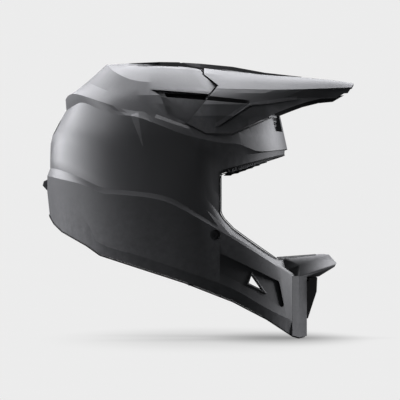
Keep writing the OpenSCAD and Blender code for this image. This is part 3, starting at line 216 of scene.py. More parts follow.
def colour(name, description, default):
    """A colour that the panel shows"""
    return bpy.props.FloatVectorProperty(
        name=name, description=description, default=default, min=0.0, max=1.0,
        subtype="COLOR", size=3)


class HelmetSizes(bpy.types.PropertyGroup):
    """Sizes that the dressed pieces are made from"""

    crease_angle: bpy.props.FloatProperty(
        name="Crease angle",
        description="Folds that run along the shell and are sharper than this stay crisp",
        default=math.radians(9), subtype="ANGLE", unit="ROTATION")
    pad_voxel: length("Pad cloth size", "Spacing of the cloth that the pads are sewn from", 4.5, 2)
    pad_swell: length("Pad swelling", "How far a pad's cover may stand proud of its solid", 0.5, 0)
    knit_pitch: length("Knit pitch", "Distance between the ribs of the knitted lining", 2.2, 0.5)
    grain_size: length("Grain size", "Size of the grain in the moulded plastic", 0.9, 0.1)


class HelmetColours(bpy.types.PropertyGroup):
    """Colours of the helmet's finishes"""

    shell: colour("Shell", "Matte colour of the shell and the visor", (0.046, 0.046, 0.0474))
    insert: colour("Inserts", "Colour of vents, ducts and nets", (0.016, 0.016, 0.017))
    nylon: colour("Nylon", "Colour of the hinge and the lock", (0.02, 0.02, 0.021))
    rubber: colour("Rubber", "Colour of the edge beads", (0.008, 0.008, 0.008))
    foam: colour("Foam", "Colour of the bead foam", (0.018, 0.018, 0.02))
    knit: colour("Knit", "Colour of the pads' cloth", (0.03, 0.031, 0.034))
    webbing: colour("Webbing", "Colour of the chin strap", (0.016, 0.016, 0.018))
    steel: colour("Steel", "Colour of the plated steel", (0.5, 0.51, 0.52))
    screws: colour("Screws", "Colour of the blackened screws", (0.05, 0.05, 0.052))
    alloy: colour("Alloy", "Colour of the turned alloy", (0.45, 0.46, 0.47))
    paper: colour("Studio", "Colour of the floor and backdrop", (0.84, 0.84, 0.84))


def sizes():
    """The sizes that the panel shows"""
    return bpy.context.scene.helmet_sizes


def colours():
    """The colours that the panel shows"""
    return bpy.context.scene.helmet_colours


# Shared shader groups: each puts out masks and heights, and every finish sets its own values


def new_group(name, inputs, outputs):
    """An empty shader group with named inputs and outputs, or the one made before"""
    group = bpy.data.node_groups.get(name)
    if group:
        return group, None, None
    group = bpy.data.node_groups.new(name, "ShaderNodeTree")
    for label, kind, value in inputs:
        socket = group.interface.new_socket(label, in_out="INPUT", socket_type=kind)
        if value is not None:
            socket.default_value = value
    for label in outputs:
        group.interface.new_socket(label, in_out="OUTPUT", socket_type="NodeSocketFloat")
    return group, group.nodes.new("NodeGroupInput"), group.nodes.new("NodeGroupOutput")


def feed(tree, sockets, values):
    """Gives each socket its value, or a link from the socket that stands for it"""
    for socket, value in zip(sockets, values):
        if isinstance(value, bpy.types.NodeSocket):
            tree.links.new(value, socket)
        elif value is not None:
            socket.default_value = value


def maths(tree, operation, a, b=0.0, c=None, clamp=False):
    """A number worked out from others"""
    node = tree.nodes.new("ShaderNodeMath")
    node.operation = operation
    node.use_clamp = clamp
    feed(tree, node.inputs, (a, b, c))
    return node.outputs[0]


def product(tree, first, *others):
    """The product of several numbers"""
    for other in others:
        first = maths(tree, "MULTIPLY", first, other)
    return first


def vector_maths(tree, operation, a, b=None, scale=None):
    """A vector worked out from others and a scale, or the dot product of two"""
    node = tree.nodes.new("ShaderNodeVectorMath")
    node.operation = operation
    feed(tree, node.inputs, (a, b, None, scale))
    return node.outputs["Value" if operation == "DOT_PRODUCT" else "Vector"]


def noise(tree, vector, scale, detail=3.0, rough=0.5):
    """Cloudy noise"""
    node = tree.nodes.new("ShaderNodeTexNoise")
    names = ("Vector", "Scale", "Detail", "Roughness")
    feed(tree, [node.inputs[name] for name in names], (vector, scale, detail, rough))
    return node.outputs["Fac"]


def cells(tree, vector, scale, feature):
    """Distance across packed cells"""
    node = tree.nodes.new("ShaderNodeTexVoronoi")
    node.feature = feature
    feed(tree, [node.inputs[name] for name in ("Vector", "Scale")], (vector, scale))
    return node.outputs["Distance"]


def split(tree, vector):
    """The three numbers of a vector"""
    node = tree.nodes.new("ShaderNodeSeparateXYZ")
    tree.links.new(vector, node.inputs[0])
    return node.outputs


def grain_group():
    """Fine moulded grain with a slow change of tone"""
    group, start, end = new_group(
        "Moulded grain",
        [("Vector", "NodeSocketVector", None), ("Grain scale", "NodeSocketFloat", 1100.0)],
        ["Height", "Tone"])
    if start:
        place, scale = start.outputs["Vector"], start.outputs["Grain scale"]
        pits = cells(group, place, scale, "SMOOTH_F1")
        height = maths(group, "MULTIPLY_ADD", pits, CELL_SHARE, noise(group, place, scale))
        group.links.new(height, end.inputs["Height"])
        broad = noise(group, place, scale=9.0, detail=4.0, rough=0.6)
        group.links.new(broad, end.inputs["Tone"])
    return group


def edge_lightening_group():
    """Mask of sharp outer edges, broken up by noise, that makes them lighter"""
    group, start, end = new_group(
        "Sharp edge lightening",
        [("Vector", "NodeSocketVector", None), ("Amount", "NodeSocketFloat", 1.0)], ["Mask"])
    if start:
        geometry = group.nodes.new("ShaderNodeNewGeometry")
        edge = maths(group, "SUBTRACT", geometry.outputs["Pointiness"], EDGE_LIGHT_ONSET)
        edge = maths(group, "MULTIPLY", edge, EDGE_LIGHT_RATE, clamp=True)
        broken = noise(group, start.outputs["Vector"], scale=160.0, detail=5.0, rough=0.65)
        mask = maths(group, "MULTIPLY", edge, broken)
        mask = maths(group, "MULTIPLY", mask, start.outputs["Amount"], clamp=True)
        group.links.new(mask, end.inputs["Mask"])
    return group


def upward_speck_group():
    """Mask that makes upward faces a little lighter in fine specks"""
    group, start, end = new_group("Upward specks", [("Vector", "NodeSocketVector", None)], ["Mask"])
    if start:
        geometry = group.nodes.new("ShaderNodeNewGeometry")
        up = split(group, geometry.outputs["Normal"])["Z"]
        specks = noise(group, start.outputs["Vector"], scale=420.0, detail=6.0, rough=0.7)
        mask = maths(group, "MULTIPLY", maths(group, "MULTIPLY", up, 1.0, clamp=True), specks)
        group.links.new(mask, end.inputs["Mask"])
    return group


def knit_group():
    """Ribbed knit whose loops run in all three directions, so it fits any surface"""
    group, start, end = new_group(
        "Knit loops",
        [("Vector", "NodeSocketVector", None), ("Pitch scale", "NodeSocketFloat", 450.0)],
        ["Height", "Tone"])
    if start:
        place = vector_maths(
            group, "SCALE", start.outputs["Vector"], scale=start.outputs["Pitch scale"])
        along = split(group, place)
        waves = [maths(group, "SINE", maths(group, "MULTIPLY", along[axis], rate))
                 for axis, rate in (("X", math.tau), ("Y", math.tau), ("Z", math.pi))]
        loops = maths(group, "ADD", maths(group, "MULTIPLY", waves[0], waves[2]), waves[1])
        lift = maths(group, "MULTIPLY_ADD", loops, LOOP_SHARE, LOOP_MIDDLE)
        fuzz = noise(group, place, scale=3.0, detail=4.0, rough=0.7)
        height = maths(group, "ADD", lift, maths(group, "MULTIPLY", fuzz, FUZZ_SHARE))
        group.links.new(height, end.inputs["Height"])
        group.links.new(fuzz, end.inputs["Tone"])
    return group


def facet_group():
    """Mask of a moulded facet along a line in the side view"""
    group, start, end = new_group(
        "Moulded facet",
        [("Vector", "NodeSocketVector", None), ("Start", "NodeSocketVector", (0.0, 0.0, 0.0)),
         ("Along", "NodeSocketVector", (1.0, 0.0, 0.0)),
         ("Across", "NodeSocketVector", (0.0, 0.0, 1.0)),
         ("Length", "NodeSocketFloat", 0.03), ("Width", "NodeSocketFloat", 0.005),
         ("Taper", "NodeSocketFloat", 0.0), ("Edge", "NodeSocketFloat", 0.0004)],
        ["Mask"])
    if start:
        given = start.outputs
        place = vector_maths(group, "SUBTRACT", given["Vector"], given["Start"])
        along, across = (vector_maths(group, "DOT_PRODUCT", place, given[label])
                         for label in ("Along", "Across"))
        part = maths(group, "DIVIDE", along, given["Length"])
        left = maths(group, "SUBTRACT", 1.0, part)
        ends = maths(group, "MULTIPLY", maths(group, "MULTIPLY", part, FACET_RISE, clamp=True),
                     maths(group, "MULTIPLY", left, FACET_FALL, clamp=True))
        narrow = maths(group, "MULTIPLY", part, given["Taper"])
        top = maths(group, "MULTIPLY", given["Width"],
                    maths(group, "SUBTRACT", 1.0, narrow, clamp=True))
        near = maths(group, "DIVIDE", across, given["Edge"], clamp=True)
        far = maths(group, "SUBTRACT", top, across)
        far = maths(group, "DIVIDE", far, given["Edge"], clamp=True)
        group.links.new(product(group, near, far, ends), end.inputs["Mask"])
    return group


def foam_group():
    """Packed foam beads with dark lines between them"""
    group, start, end = new_group(
        "Foam beads",
        [("Vector", "NodeSocketVector", None), ("Bead scale", "NodeSocketFloat", 260.0)],
        ["Height", "Gap"])
    if start:
        place, scale = start.outputs["Vector"], start.outputs["Bead scale"]
        walls = cells(group, place, scale, "DISTANCE_TO_EDGE")
        bead = maths(group, "MULTIPLY", walls, BEAD_RATE, clamp=True)
        group.links.new(bead, end.inputs["Height"])
        group.links.new(maths(group, "SUBTRACT", 1.0, bead), end.inputs["Gap"])
    return group


class Finish:
    """One material under construction: its tree, its shader and its object coordinates"""

    def __init__(self, name, base, rough, metallic=0.0, specular=0.5):
        self.material = bpy.data.materials.new(name)
        self.material.use_nodes = True
        self.tree = self.material.node_tree
        self.shader = self.tree.nodes["Principled BSDF"]
        self.base = (*base, 1.0)
        self.set({"Base Color": self.base, "Roughness": rough, "Metallic": metallic,
                  "Specular IOR Level": specular})
        self.vector = self.tree.nodes.new("ShaderNodeTexCoord").outputs["Object"]

    def set(self, values):
        """Sets or links the shader's named sockets"""
        feed(self.tree, [self.shader.inputs[label] for label in values], values.values())

    def group(self, made, **values):
        """Puts a shared group into the material, with this finish's own values"""
        node = self.tree.nodes.new("ShaderNodeGroup")
        node.node_tree = made
        self.tree.links.new(self.vector, node.inputs["Vector"])
        for label, value in values.items():
            node.inputs[label.replace("_", " ")].default_value = value
        return node.outputs

    def tint(self, mask, other, strength):
        """Mixes the base colour so far toward another by a mask"""
        mix = self.tree.nodes.new("ShaderNodeMix")
        mix.data_type = "RGBA"
        share = maths(self.tree, "MULTIPLY", mask, strength, clamp=True)
        base = self.shader.inputs["Base Color"]
        so_far = base.links[0].from_socket if base.is_linked else self.base
        feed(self.tree, [mix.inputs[i] for i in MIX_INPUTS], (share, so_far, (*other, 1.0)))
        self.tree.links.new(mix.outputs[MIX_RESULT], base)

    def vary_roughness(self, tone, low, high):
        """Lets the sheen follow a slow change of tone"""
        span = self.tree.nodes.new("ShaderNodeMapRange")
        labels = ("Value", "From Min", "From Max", "To Min", "To Max")
        feed(self.tree, [span.inputs[label] for label in labels], (tone, *TONE_SPAN, low, high))
        self.tree.links.new(span.outputs[0], self.shader.inputs["Roughness"])

    def facets(self, rows):
        """Leans the surface over facets of the side view"""
        if not rows:
            return
        tree = self.tree
        normal = tree.nodes.new("ShaderNodeNewGeometry").outputs["Normal"]
        for row in rows:
            (x0, z0), (x1, z1) = row.start, row.end
            along = Vector((x1 - x0, 0.0, z1 - z0)) * MM
            side = 1.0 if row.width > 0 else -1.0
            across = Vector((-along.z, 0.0, along.x)).normalized() * side
            mask = self.group(
                facet_group(), Start=(x0 * MM, 0.0, z0 * MM), Along=along.normalized(),
                Across=across, Length=along.length, Width=abs(row.width) * MM, Taper=row.taper,
                Edge=row.edge * MM)["Mask"]
            lean = vector_maths(tree, "SCALE", across * -row.slope, scale=mask)
            normal = vector_maths(tree, "ADD", normal, lean)
        self.set({"Normal": vector_maths(tree, "NORMALIZE", normal)})

    def bump(self, height, depth):
        """Raises fine relief over the relief so far"""
        node = self.tree.nodes.new("ShaderNodeBump")
        old = self.shader.inputs["Normal"]
        values = {"Strength": 1.0, "Distance": depth, "Height": height,
                  "Normal": old.links[0].from_socket if old.is_linked else None}
        feed(self.tree, [node.inputs[label] for label in values], values.values())
        self.tree.links.new(node.outputs["Normal"], old)


def lighter(base, times, plus):
    """A colour made lighter by a factor and a step"""
    return tuple(min(1.0, c * times + plus) for c in base)


def moulded(name, base, rough, grain_depth, edge_lightening, facets=(), specular=0.5):
    """Matte moulded plastic: fine grain, slow change of sheen, lighter sharp edges, and upward
    faces a little lighter in fine specks
    """
    finish = Finish(name, base, rough, specular=specular)
    grain = finish.group(grain_group(), Grain_scale=1.0 / sizes().grain_size)
    upward_specks = finish.group(upward_speck_group())["Mask"]
    edge_mask = finish.group(edge_lightening_group(), Amount=edge_lightening)["Mask"]
    finish.tint(grain["Tone"], lighter(base, times=1.2, plus=0.0), strength=0.5)
    # Upward faces made a little lighter in fine specks
    finish.tint(upward_specks, lighter(base, times=2.4, plus=0.01), strength=0.3)
    # Sharp outer edges made lighter, broken up by noise
    finish.tint(edge_mask, lighter(base, times=3.0, plus=0.03), strength=1.0)
    finish.vary_roughness(grain["Tone"], low=rough - 0.05, high=rough + 0.06)
    finish.facets(facets)
    finish.bump(grain["Height"], grain_depth)
    return finish.material


def shell_plastic():
    """Matte plastic of the shell"""
    return moulded("Matte shell", tuple(colours().shell), rough=0.5, grain_depth=0.03 * MM,
                   edge_lightening=0.8, facets=SHELL_FACETS, specular=0.3)


def visor_plastic():
    """Matte plastic of the visor"""
    return moulded("Matte visor", tuple(colours().shell), rough=0.5, grain_depth=0.03 * MM,
                   edge_lightening=0.8, facets=VISOR_FACETS, specular=0.3)


def insert_plastic():
    """Plain plastic of the vents"""
    return moulded("Vent plastic", tuple(colours().insert), rough=0.5, grain_depth=0.06 * MM,
                   edge_lightening=0.6)


def hinge_plastic():
    """Smooth nylon of the hinge and the lock"""
    return moulded("Hinge nylon", tuple(colours().nylon), rough=0.42, grain_depth=0.06 * MM,
                   edge_lightening=0.7)


def edge_rubber():
    """Soft rubber of the edge beads"""
    finish = Finish("Edge rubber", tuple(colours().rubber), rough=0.62, specular=0.2)
    grain = finish.group(grain_group(), Grain_scale=700.0)
    finish.tint(grain["Tone"], (0.012, 0.012, 0.0125), strength=0.8)
    # Upward faces made a little lighter in fine specks
    finish.tint(finish.group(upward_speck_group())["Mask"], (0.03, 0.029, 0.028), strength=0.3)
    finish.vary_roughness(grain["Tone"], low=0.55, high=0.72)
    finish.bump(grain["Height"], depth=0.02 * MM)
    return finish.material


def bead_foam():
    """Bead foam of the liners"""
    finish = Finish("Bead foam", tuple(colours().foam), rough=0.7, specular=0.3)
    beads = finish.group(foam_group(), Bead_scale=260.0)
    grain = finish.group(grain_group(), Grain_scale=1500.0)
    finish.tint(grain["Tone"], (0.03, 0.03, 0.032), strength=0.7)
    finish.tint(beads["Gap"], (0.004, 0.004, 0.004), strength=0.8)
    finish.bump(beads["Height"], depth=0.25 * MM)
    finish.bump(grain["Height"], depth=0.05 * MM)
    return finish.material


def knit_cloth():
    """Brushed knit of the pads' covers"""
    finish = Finish("Pad knit", tuple(colours().knit), rough=0.85, specular=0.2)
    finish.set({"Sheen Weight": 0.35, "Sheen Roughness": 0.4})
    loops = finish.group(knit_group(), Pitch_scale=1.0 / sizes().knit_pitch)
    finish.tint(loops["Height"], (0.085, 0.086, 0.09), strength=0.55)
    finish.tint(loops["Tone"], (0.012, 0.012, 0.013), strength=0.5)
    finish.bump(loops["Height"], depth=0.4 * MM)
    return finish.material


def strap_webbing():
    """Woven webbing of the chin strap"""
    finish = Finish("Strap webbing", tuple(colours().webbing), rough=0.75, specular=0.3)
    loops = finish.group(knit_group(), Pitch_scale=620.0)
    finish.tint(loops["Height"], (0.05, 0.05, 0.053), strength=0.5)
    finish.bump(loops["Height"], depth=0.3 * MM)
    return finish.material


def plated_steel():
    """Plated steel of the pins, the rivets and the plates"""
    finish = Finish("Plated steel", tuple(colours().steel), rough=0.34, metallic=1.0)
    grain = finish.group(grain_group(), Grain_scale=1800.0)
    finish.tint(grain["Tone"], (0.36, 0.36, 0.36), strength=0.6)
    finish.vary_roughness(grain["Tone"], low=0.26, high=0.42)
    finish.bump(grain["Height"], depth=0.02 * MM)
    return finish.material


def blackened_steel():
    """Blackened steel of the screws"""
    finish = Finish("Black screw", tuple(colours().screws), rough=0.34, specular=0.6)
    grain = finish.group(grain_group(), Grain_scale=1600.0)
    edge_mask = finish.group(edge_lightening_group(), Amount=1.0)["Mask"]
    # Sharp outer edges made lighter, broken up by noise
    finish.tint(edge_mask, (0.16, 0.16, 0.165), strength=1.0)
    finish.vary_roughness(grain["Tone"], low=0.3, high=0.45)
    finish.bump(grain["Height"], depth=0.03 * MM)
    return finish.material


def turned_alloy():
    """Turned alloy of the buckle and the nuts"""
    finish = Finish("Turned alloy", tuple(colours().alloy), rough=0.3, metallic=1.0)
    grain = finish.group(grain_group(), Grain_scale=2200.0)
    finish.vary_roughness(grain["Tone"], low=0.22, high=0.38)
    finish.bump(grain["Height"], depth=0.02 * MM)
    return finish.material


FINISH_MAKERS = {
    "shell_matte": shell_plastic, "visor_matte": visor_plastic, "insert_black": insert_plastic,
    "hinge_plastic": hinge_plastic, "trim_rubber": edge_rubber, "foam_grey": bead_foam,
    "pad_fabric": knit_cloth, "webbing": strap_webbing, "steel_bright": plated_steel,
    "steel_black": blackened_steel, "alloy": turned_alloy,
}
made_finishes = {}


def finish_for(slot):
    """The material of a slot, made once"""
    if slot not in made_finishes:
        made_finishes[slot] = FINISH_MAKERS[slot]()
    return made_finishes[slot]


def soft_pool(finish, place, reach, depth):
    """Soft oval of shade painted on the paper round a place"""
    tree = finish.tree
    stretch = tree.nodes.new("ShaderNodeMapping")
    stretch.vector_type = "TEXTURE"
    stretch.inputs["Location"].default_value = (*place, CAD_BOX[0][2])
    stretch.inputs["Scale"].default_value = (*reach, 1.0)
    tree.links.new(finish.vector, stretch.inputs["Vector"])
    ball = tree.nodes.new("ShaderNodeTexGradient")
    ball.gradient_type = "SPHERICAL"
    tree.links.new(stretch.outputs[0], ball.inputs[0])
    fade = tree.nodes.new("ShaderNodeMapRange")
    fade.interpolation_type = "SMOOTHSTEP"
    fade.inputs["To Max"].default_value = depth
    tree.links.new(ball.outputs["Fac"], fade.inputs["Value"])
    return fade.outputs[0]


def studio_paper(tone):
    """Even paper that darkens only where the helmet stands close over it"""
    finish = Finish("Studio paper", (0.0, 0.0, 0.0), rough=0.9, specular=0.0)
    tree = finish.tree
    near = tree.nodes.new("ShaderNodeAmbientOcclusion")
    near.samples = CONTACT_SAMPLES
    near.inputs["Distance"].default_value = CONTACT_REACH
    contact = maths(tree, "MULTIPLY_ADD", near.outputs["AO"], CONTACT_DEPTH, 1.0 - CONTACT_DEPTH)
    cast, deep = (maths(tree, "SUBTRACT", 1.0, soft_pool(finish, *pool)) for pool in POOLS)
    shade = maths(tree, "MULTIPLY", contact, maths(tree, "MULTIPLY", cast, deep))
    fleck = finish.group(grain_group(), Grain_scale=500.0)["Tone"]
    flecked = maths(tree, "MULTIPLY_ADD", fleck, FLECK, 1.0 - FLECK / 2)
    finish.set({
        "Emission Color": vector_maths(tree, "SCALE", tone, scale=product(tree, shade, flecked)),
        "Emission Strength": 1.0})
    return finish.material


# Ways to bring a CAD node into the dressed model


def merged_copy(node):
    """A bmesh of a CAD node with its loose triangles joined"""
    bm = bmesh.new()
    bm.from_mesh(frame["nodes"][node].data)
    bmesh.ops.remove_doubles(bm, verts=bm.verts, dist=WELD)
    return bm


def smooth_all(bm):
    """Shades every face of a bmesh smooth"""
    for face in bm.faces:
        face.smooth = True


def shade_by_angle(bm, angle, upright, soft_boxes):
    """Keeps folds over an angle crisp; climbing folds and those in a box have their own angle"""
    smooth_all(bm)
    for edge in bm.edges:
        limit = angle
        middle = (edge.verts[0].co + edge.verts[1].co) / 2
        if upright:
            along = edge.verts[1].co - edge.verts[0].co
            way_round = Vector((-middle.y, middle.x, 0.0))
            if abs(along.dot(way_round)) < UPRIGHT_SHARE * along.length * way_round.length:
                limit = upright
        for low, high, own in soft_boxes:
            if low[0] < middle.x < high[0] and low[1] < middle.z < high[1]:
                limit = math.radians(own)
        edge.smooth = len(edge.link_faces) == 2 and edge.calc_face_angle(0.0) < limit


def settle(bm, name, node):
    """Makes the object of a finished bmesh, which rides on its node's body and stands for it"""
    mesh = bpy.data.meshes.new(name)
    bm.to_mesh(mesh)
    bm.free()
    for label in ("custom_normal", "Col", "Color"):
        if label in mesh.attributes:
            mesh.attributes.remove(mesh.attributes[label])
    piece = bpy.data.objects.new(name, mesh)
    bpy.context.scene.collection.objects.link(piece)
    slot = SLOT_OF[node]
    mesh.materials.clear()
    mesh.materials.append(finish_for(slot))
    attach(piece, frame["nodes"][node]["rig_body"])
    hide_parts(node)
    return piece


def rounded(piece, width):
    """Rounds a piece's moulded edges"""
    bevel = piece.modifiers.new("Rounded edges", "BEVEL")
    bevel.width = width
    bevel.segments = ROUND_FACETS
    bevel.limit_method = "ANGLE"
    bevel.angle_limit = HARD_FOLD


def slimmed(bm):
    """Draws a bead in a little, so it sits closer to the edge it covers"""
    for vert in bm.verts:
        vert.co -= vert.normal * BEAD_DRAW * MM


def lean_rib(bm):
    """Leans the crown rib's side walls, so that its edge is a soft shoulder"""
    for vert in bm.verts:
        if RIB_EDGE[0] < abs(vert.co.y) < RIB_EDGE[1] and vert.co.x < RIB_END:
            normals = [face.normal for face in vert.link_faces]
            if any(abs(n.y) > WALL_ASIDE and n.z > WALL_UP for n in normals):
                vert.co.y *= RIB_LEAN


def clear_tail(bm):
    """Draws the visor's tail in from the crown rib, which it swings past at the tilt's end"""
    for vert in bm.verts:
        if vert.co.x < TAIL_END and vert.co.z > TAIL_LOW:
            vert.co.x += TAIL_DRAW


def dressed(node, name, angle, width=0.0, upright=None, shape=None, soft_boxes=()):
    """A smooth copy of a rigid node, with its moulded edges rounded when a width is given"""
    bm = merged_copy(node)
    bm.normal_update()
    if shape:
        shape(bm)
        bm.normal_update()
    shade_by_angle(bm, angle, upright, soft_boxes)
    piece = settle(bm, name, node)
    if width:
        rounded(piece, width)
    even = piece.modifiers.new("Even shading", "WEIGHTED_NORMAL")
    even.keep_sharp = True


def refinished(*nodes):
    """Gives CAD nodes whose shape is right their finish"""
    for node in nodes:
        data = frame["nodes"][node].data
        data.materials.clear()
        data.materials.append(finish_for(SLOT_OF[node]))


def apply_all(piece):
    """Bakes a piece's modifiers into its mesh"""
    graph = bpy.context.evaluated_depsgraph_get()
    shape = bpy.data.meshes.new_from_object(piece.evaluated_get(graph))
    old = piece.data
    material = old.materials[0]
    piece.modifiers.clear()
    piece.data = shape
    shape.materials.clear()
    shape.materials.append(material)
    bpy.data.meshes.remove(old)


def blow_up(piece, cap):
    """Blows a closed cover up as cloth, with no point moved further than a cap"""
    start = [v.co.copy() for v in piece.data.vertices]
    cloth = piece.modifiers.new("Sewn cover", "CLOTH")
    for setting, value in CLOTH.items():
        setattr(cloth.settings, setting, value)
    cloth.settings.effector_weights.gravity = 0.0
    cloth.point_cache.frame_start = 1
    cloth.point_cache.frame_end = CLOTH_STEPS
    for step in range(1, CLOTH_STEPS + 1):
        bpy.context.scene.frame_set(step)
    apply_all(piece)
    for vert, old in zip(piece.data.vertices, start):
        move = vert.co - old
        if move.length > cap:
            vert.co = old + move.normalized() * cap
    bpy.context.scene.frame_set(1)


def swollen(node, name, voxel=None, cap=PAD_CAP, channels=None):
    """A pad sewn from cloth over its CAD solid: shrunk, remeshed, blown up, kept in its space"""
    bm = merged_copy(node)
    solid = BVHTree.FromBMesh(bm)
    bm.normal_update()
    for vert in bm.verts:
        vert.co -= vert.normal * PAD_DRAW * MM
    smooth_all(bm)
    piece = settle(bm, name, node)
    remesh = piece.modifiers.new("Cloth grid", "REMESH")
    remesh.mode = "VOXEL"
    remesh.voxel_size = voxel or sizes().pad_voxel
    remesh.use_smooth_shade = True
    apply_all(piece)
    blow_up(piece, cap)
    bm = bmesh.new()
    bm.from_mesh(piece.data)
    bmesh.ops.subdivide_edges(bm, edges=bm.edges, cuts=1, use_grid_fill=True)
    bmesh.ops.smooth_vert(
        bm, verts=bm.verts, factor=0.5, use_axis_x=True, use_axis_y=True, use_axis_z=True)
    bm.normal_update()
    for vert in bm.verts:
        if channels:
            vert.co -= vert.normal * channels(vert.co)
        place, normal, _, _ = solid.find_nearest(vert.co)
        out = (vert.co - place).dot(normal)
        if out > sizes().pad_swell:
            vert.co -= normal * (out - sizes().pad_swell)
    smooth_all(bm)
    bm.to_mesh(piece.data)
    bm.free()


def sewn(axis, places, depth):
    """A rule for how deep sewn channels across an axis press in at a point"""
    def depth_at(co):
        total = 0
        for place in places:
            away = abs(co[axis] - place) / CHANNEL_W
            total += depth * math.exp(-away * away)
        return total
    return depth_at


class HELMET_OT_shell(bpy.types.Operator):
    """Smooths the outer shell and its visor and keeps their sharper folds crisp"""

    bl_idname = "helmet.shell"
    bl_label = "Shell and visor"

    def execute(self, context):
        crease = sizes().crease_angle
        dressed("outer_shell", "helmet_shell", crease, upright=UPRIGHT_FOLD, shape=lean_rib,
                soft_boxes=SOFT_BOXES)
        dressed("visor", "helmet_visor", crease, upright=UPRIGHT_FOLD, shape=clear_tail)
        return {"FINISHED"}


class HELMET_OT_trims(bpy.types.Operator):
    """Makes the rubber beads round the face port and the lower edge"""

    bl_idname = "helmet.trims"
    bl_label = "Rubber beads"

    def execute(self, context):
        dressed("port_edge_trim", "port_bead", SOFT_FOLD, shape=slimmed)
        dressed("neck_edge_trim", "hem_bead", SOFT_FOLD)
        refinished("side_screw_washers")
        return {"FINISHED"}


class HELMET_OT_vents(bpy.types.Operator):
    """Finishes the mouth insert, the ducts and the nets"""

    bl_idname = "helmet.vents"
    bl_label = "Vents"

    def execute(self, context):
        dressed("mouth_vent_insert", "mouth_louvres", HARD_FOLD, BOLD_ROUND)
        for side in ("right", "left"):
            dressed("side_vent_duct_" + side, "duct_" + side, HARD_FOLD, FINE_ROUND)
        refinished("mouth_vent_mesh", "brow_vent_inserts", "rear_vent_mesh", "cheek_pad_snaps")
        return {"FINISHED"}


class HELMET_OT_foam(bpy.types.Operator):
    """Gives the foam liners their smooth shape and beads"""

    bl_idname = "helmet.foam"
    bl_label = "Foam liners"

    def execute(self, context):
        for block in ("front_right", "front_left", "rear_right", "rear_left"):
            dressed("eps_" + block, "foam_" + block, HARD_FOLD)
        dressed("chin_eps_liner", "chin_foam", HARD_FOLD)
        return {"FINISHED"}


class HELMET_OT_pads(bpy.types.Operator):
    """Sews the soft pads over their solids"""

    bl_idname = "helmet.pads"
    bl_label = "Soft pads"

    def execute(self, context):
        cheek = sewn(0, CHEEK_CHANNELS, CHEEK_DEPTH)
        for side in ("right", "left"):
            swollen("cheek_pad_" + side, "cheek_cushion_" + side, channels=cheek)
        swollen("neck_roll", "neck_cushion", channels=sewn(1, NECK_CHANNELS, NECK_DEPTH))
        swollen("crown_pads", "crown_cushions", voxel=SMALL_VOXEL)
        swollen("brow_pad", "brow_cushion", voxel=SMALL_VOXEL)
        swollen("nape_pad", "nape_cushion", voxel=SMALL_VOXEL)
        swollen("brow_strip", "brow_knit", voxel=STRIP_VOXEL, cap=STRIP_CAP)
        swollen("strap_pad", "throat_cushion", voxel=STRIP_VOXEL, cap=STRIP_CAP)
        return {"FINISHED"}


class HELMET_OT_straps(bpy.types.Operator):
    """Finishes the chin strap's webbing"""

    bl_idname = "helmet.straps"
    bl_label = "Chin strap"

    def execute(self, context):
        for side in ("right", "left"):
            dressed("strap_" + side, "webbing_" + side, SOFT_FOLD, WEB_ROUND)
        refinished("strap_anchors")
        return {"FINISHED"}


class HELMET_OT_hardware(bpy.types.Operator):
    """Finishes the hinge, the lock, the side screws and the buckle"""

    bl_idname = "helmet.hardware"
    bl_label = "Hardware"

    def execute(self, context):
        for node, name, width in (
                ("visor_hinge_lugs", "hinge_lugs", FINE_ROUND),
                ("visor_web", "lock_web", WEB_ROUND),
                ("visor_hinge_brackets", "hinge_brackets", FINE_ROUND),
                ("visor_lock_bracket", "lock_bracket", FINE_ROUND),
                ("visor_lock_screw", "lock_thumb_screw", FINE_ROUND),
                ("side_screws", "side_screw_heads", BOLD_ROUND),
                ("ratchet_tongue", "toothed_tongue", FINE_ROUND),
                ("buckle_body", "buckle_frame", FINE_ROUND),
                ("buckle_lever", "buckle_handle", BOLD_ROUND)):
            dressed(node, name, HARD_FOLD, width)
        refinished("visor_hinge_pins", "visor_lock_nut", "side_screw_nuts", "buckle_pin",
                   "tongue_rivets", "buckle_rivets")
        return {"FINISHED"}


def paper_sweep(tone):
    """The floor, bent up into the backdrop in one sheet"""
    floor_z = CAD_BOX[0][2] - PAPER_GAP
    line = [(0.0, PAPER_NEAR, floor_z), (0.0, PAPER_FAR, floor_z)]
    for i in range(1, PAPER_STEPS + 1):
        turn = math.radians(90) * i / PAPER_STEPS
        line.append((0.0, PAPER_FAR + PAPER_BEND * math.sin(turn),
                     floor_z + PAPER_BEND * (1 - math.cos(turn))))
    line.append((0.0, PAPER_FAR + PAPER_BEND, floor_z + PAPER_RISE))
    bm = bmesh.new()
    verts = [bm.verts.new(point) for point in line]
    edges = [bm.edges.new(pair) for pair in zip(verts, verts[1:])]
    swept = bmesh.ops.extrude_edge_only(bm, edges=edges)["geom"]
    moved = [g for g in swept if isinstance(g, bmesh.types.BMVert)]
    bmesh.ops.translate(bm, verts=verts, vec=(-PAPER_HALF, 0.0, 0.0))
    bmesh.ops.translate(bm, verts=moved, vec=(PAPER_HALF, 0.0, 0.0))
    smooth_all(bm)
    mesh = bpy.data.meshes.new("studio_sweep")
    bm.to_mesh(mesh)
    bm.free()
    sweep = bpy.data.objects.new("studio_sweep", mesh)
    bpy.context.scene.collection.objects.link(sweep)
    mesh.materials.append(studio_paper(tone))
    # The paper is bright for the camera only, so it throws no light up at the black shell
    sweep.visible_diffuse = False
    sweep.visible_glossy = False


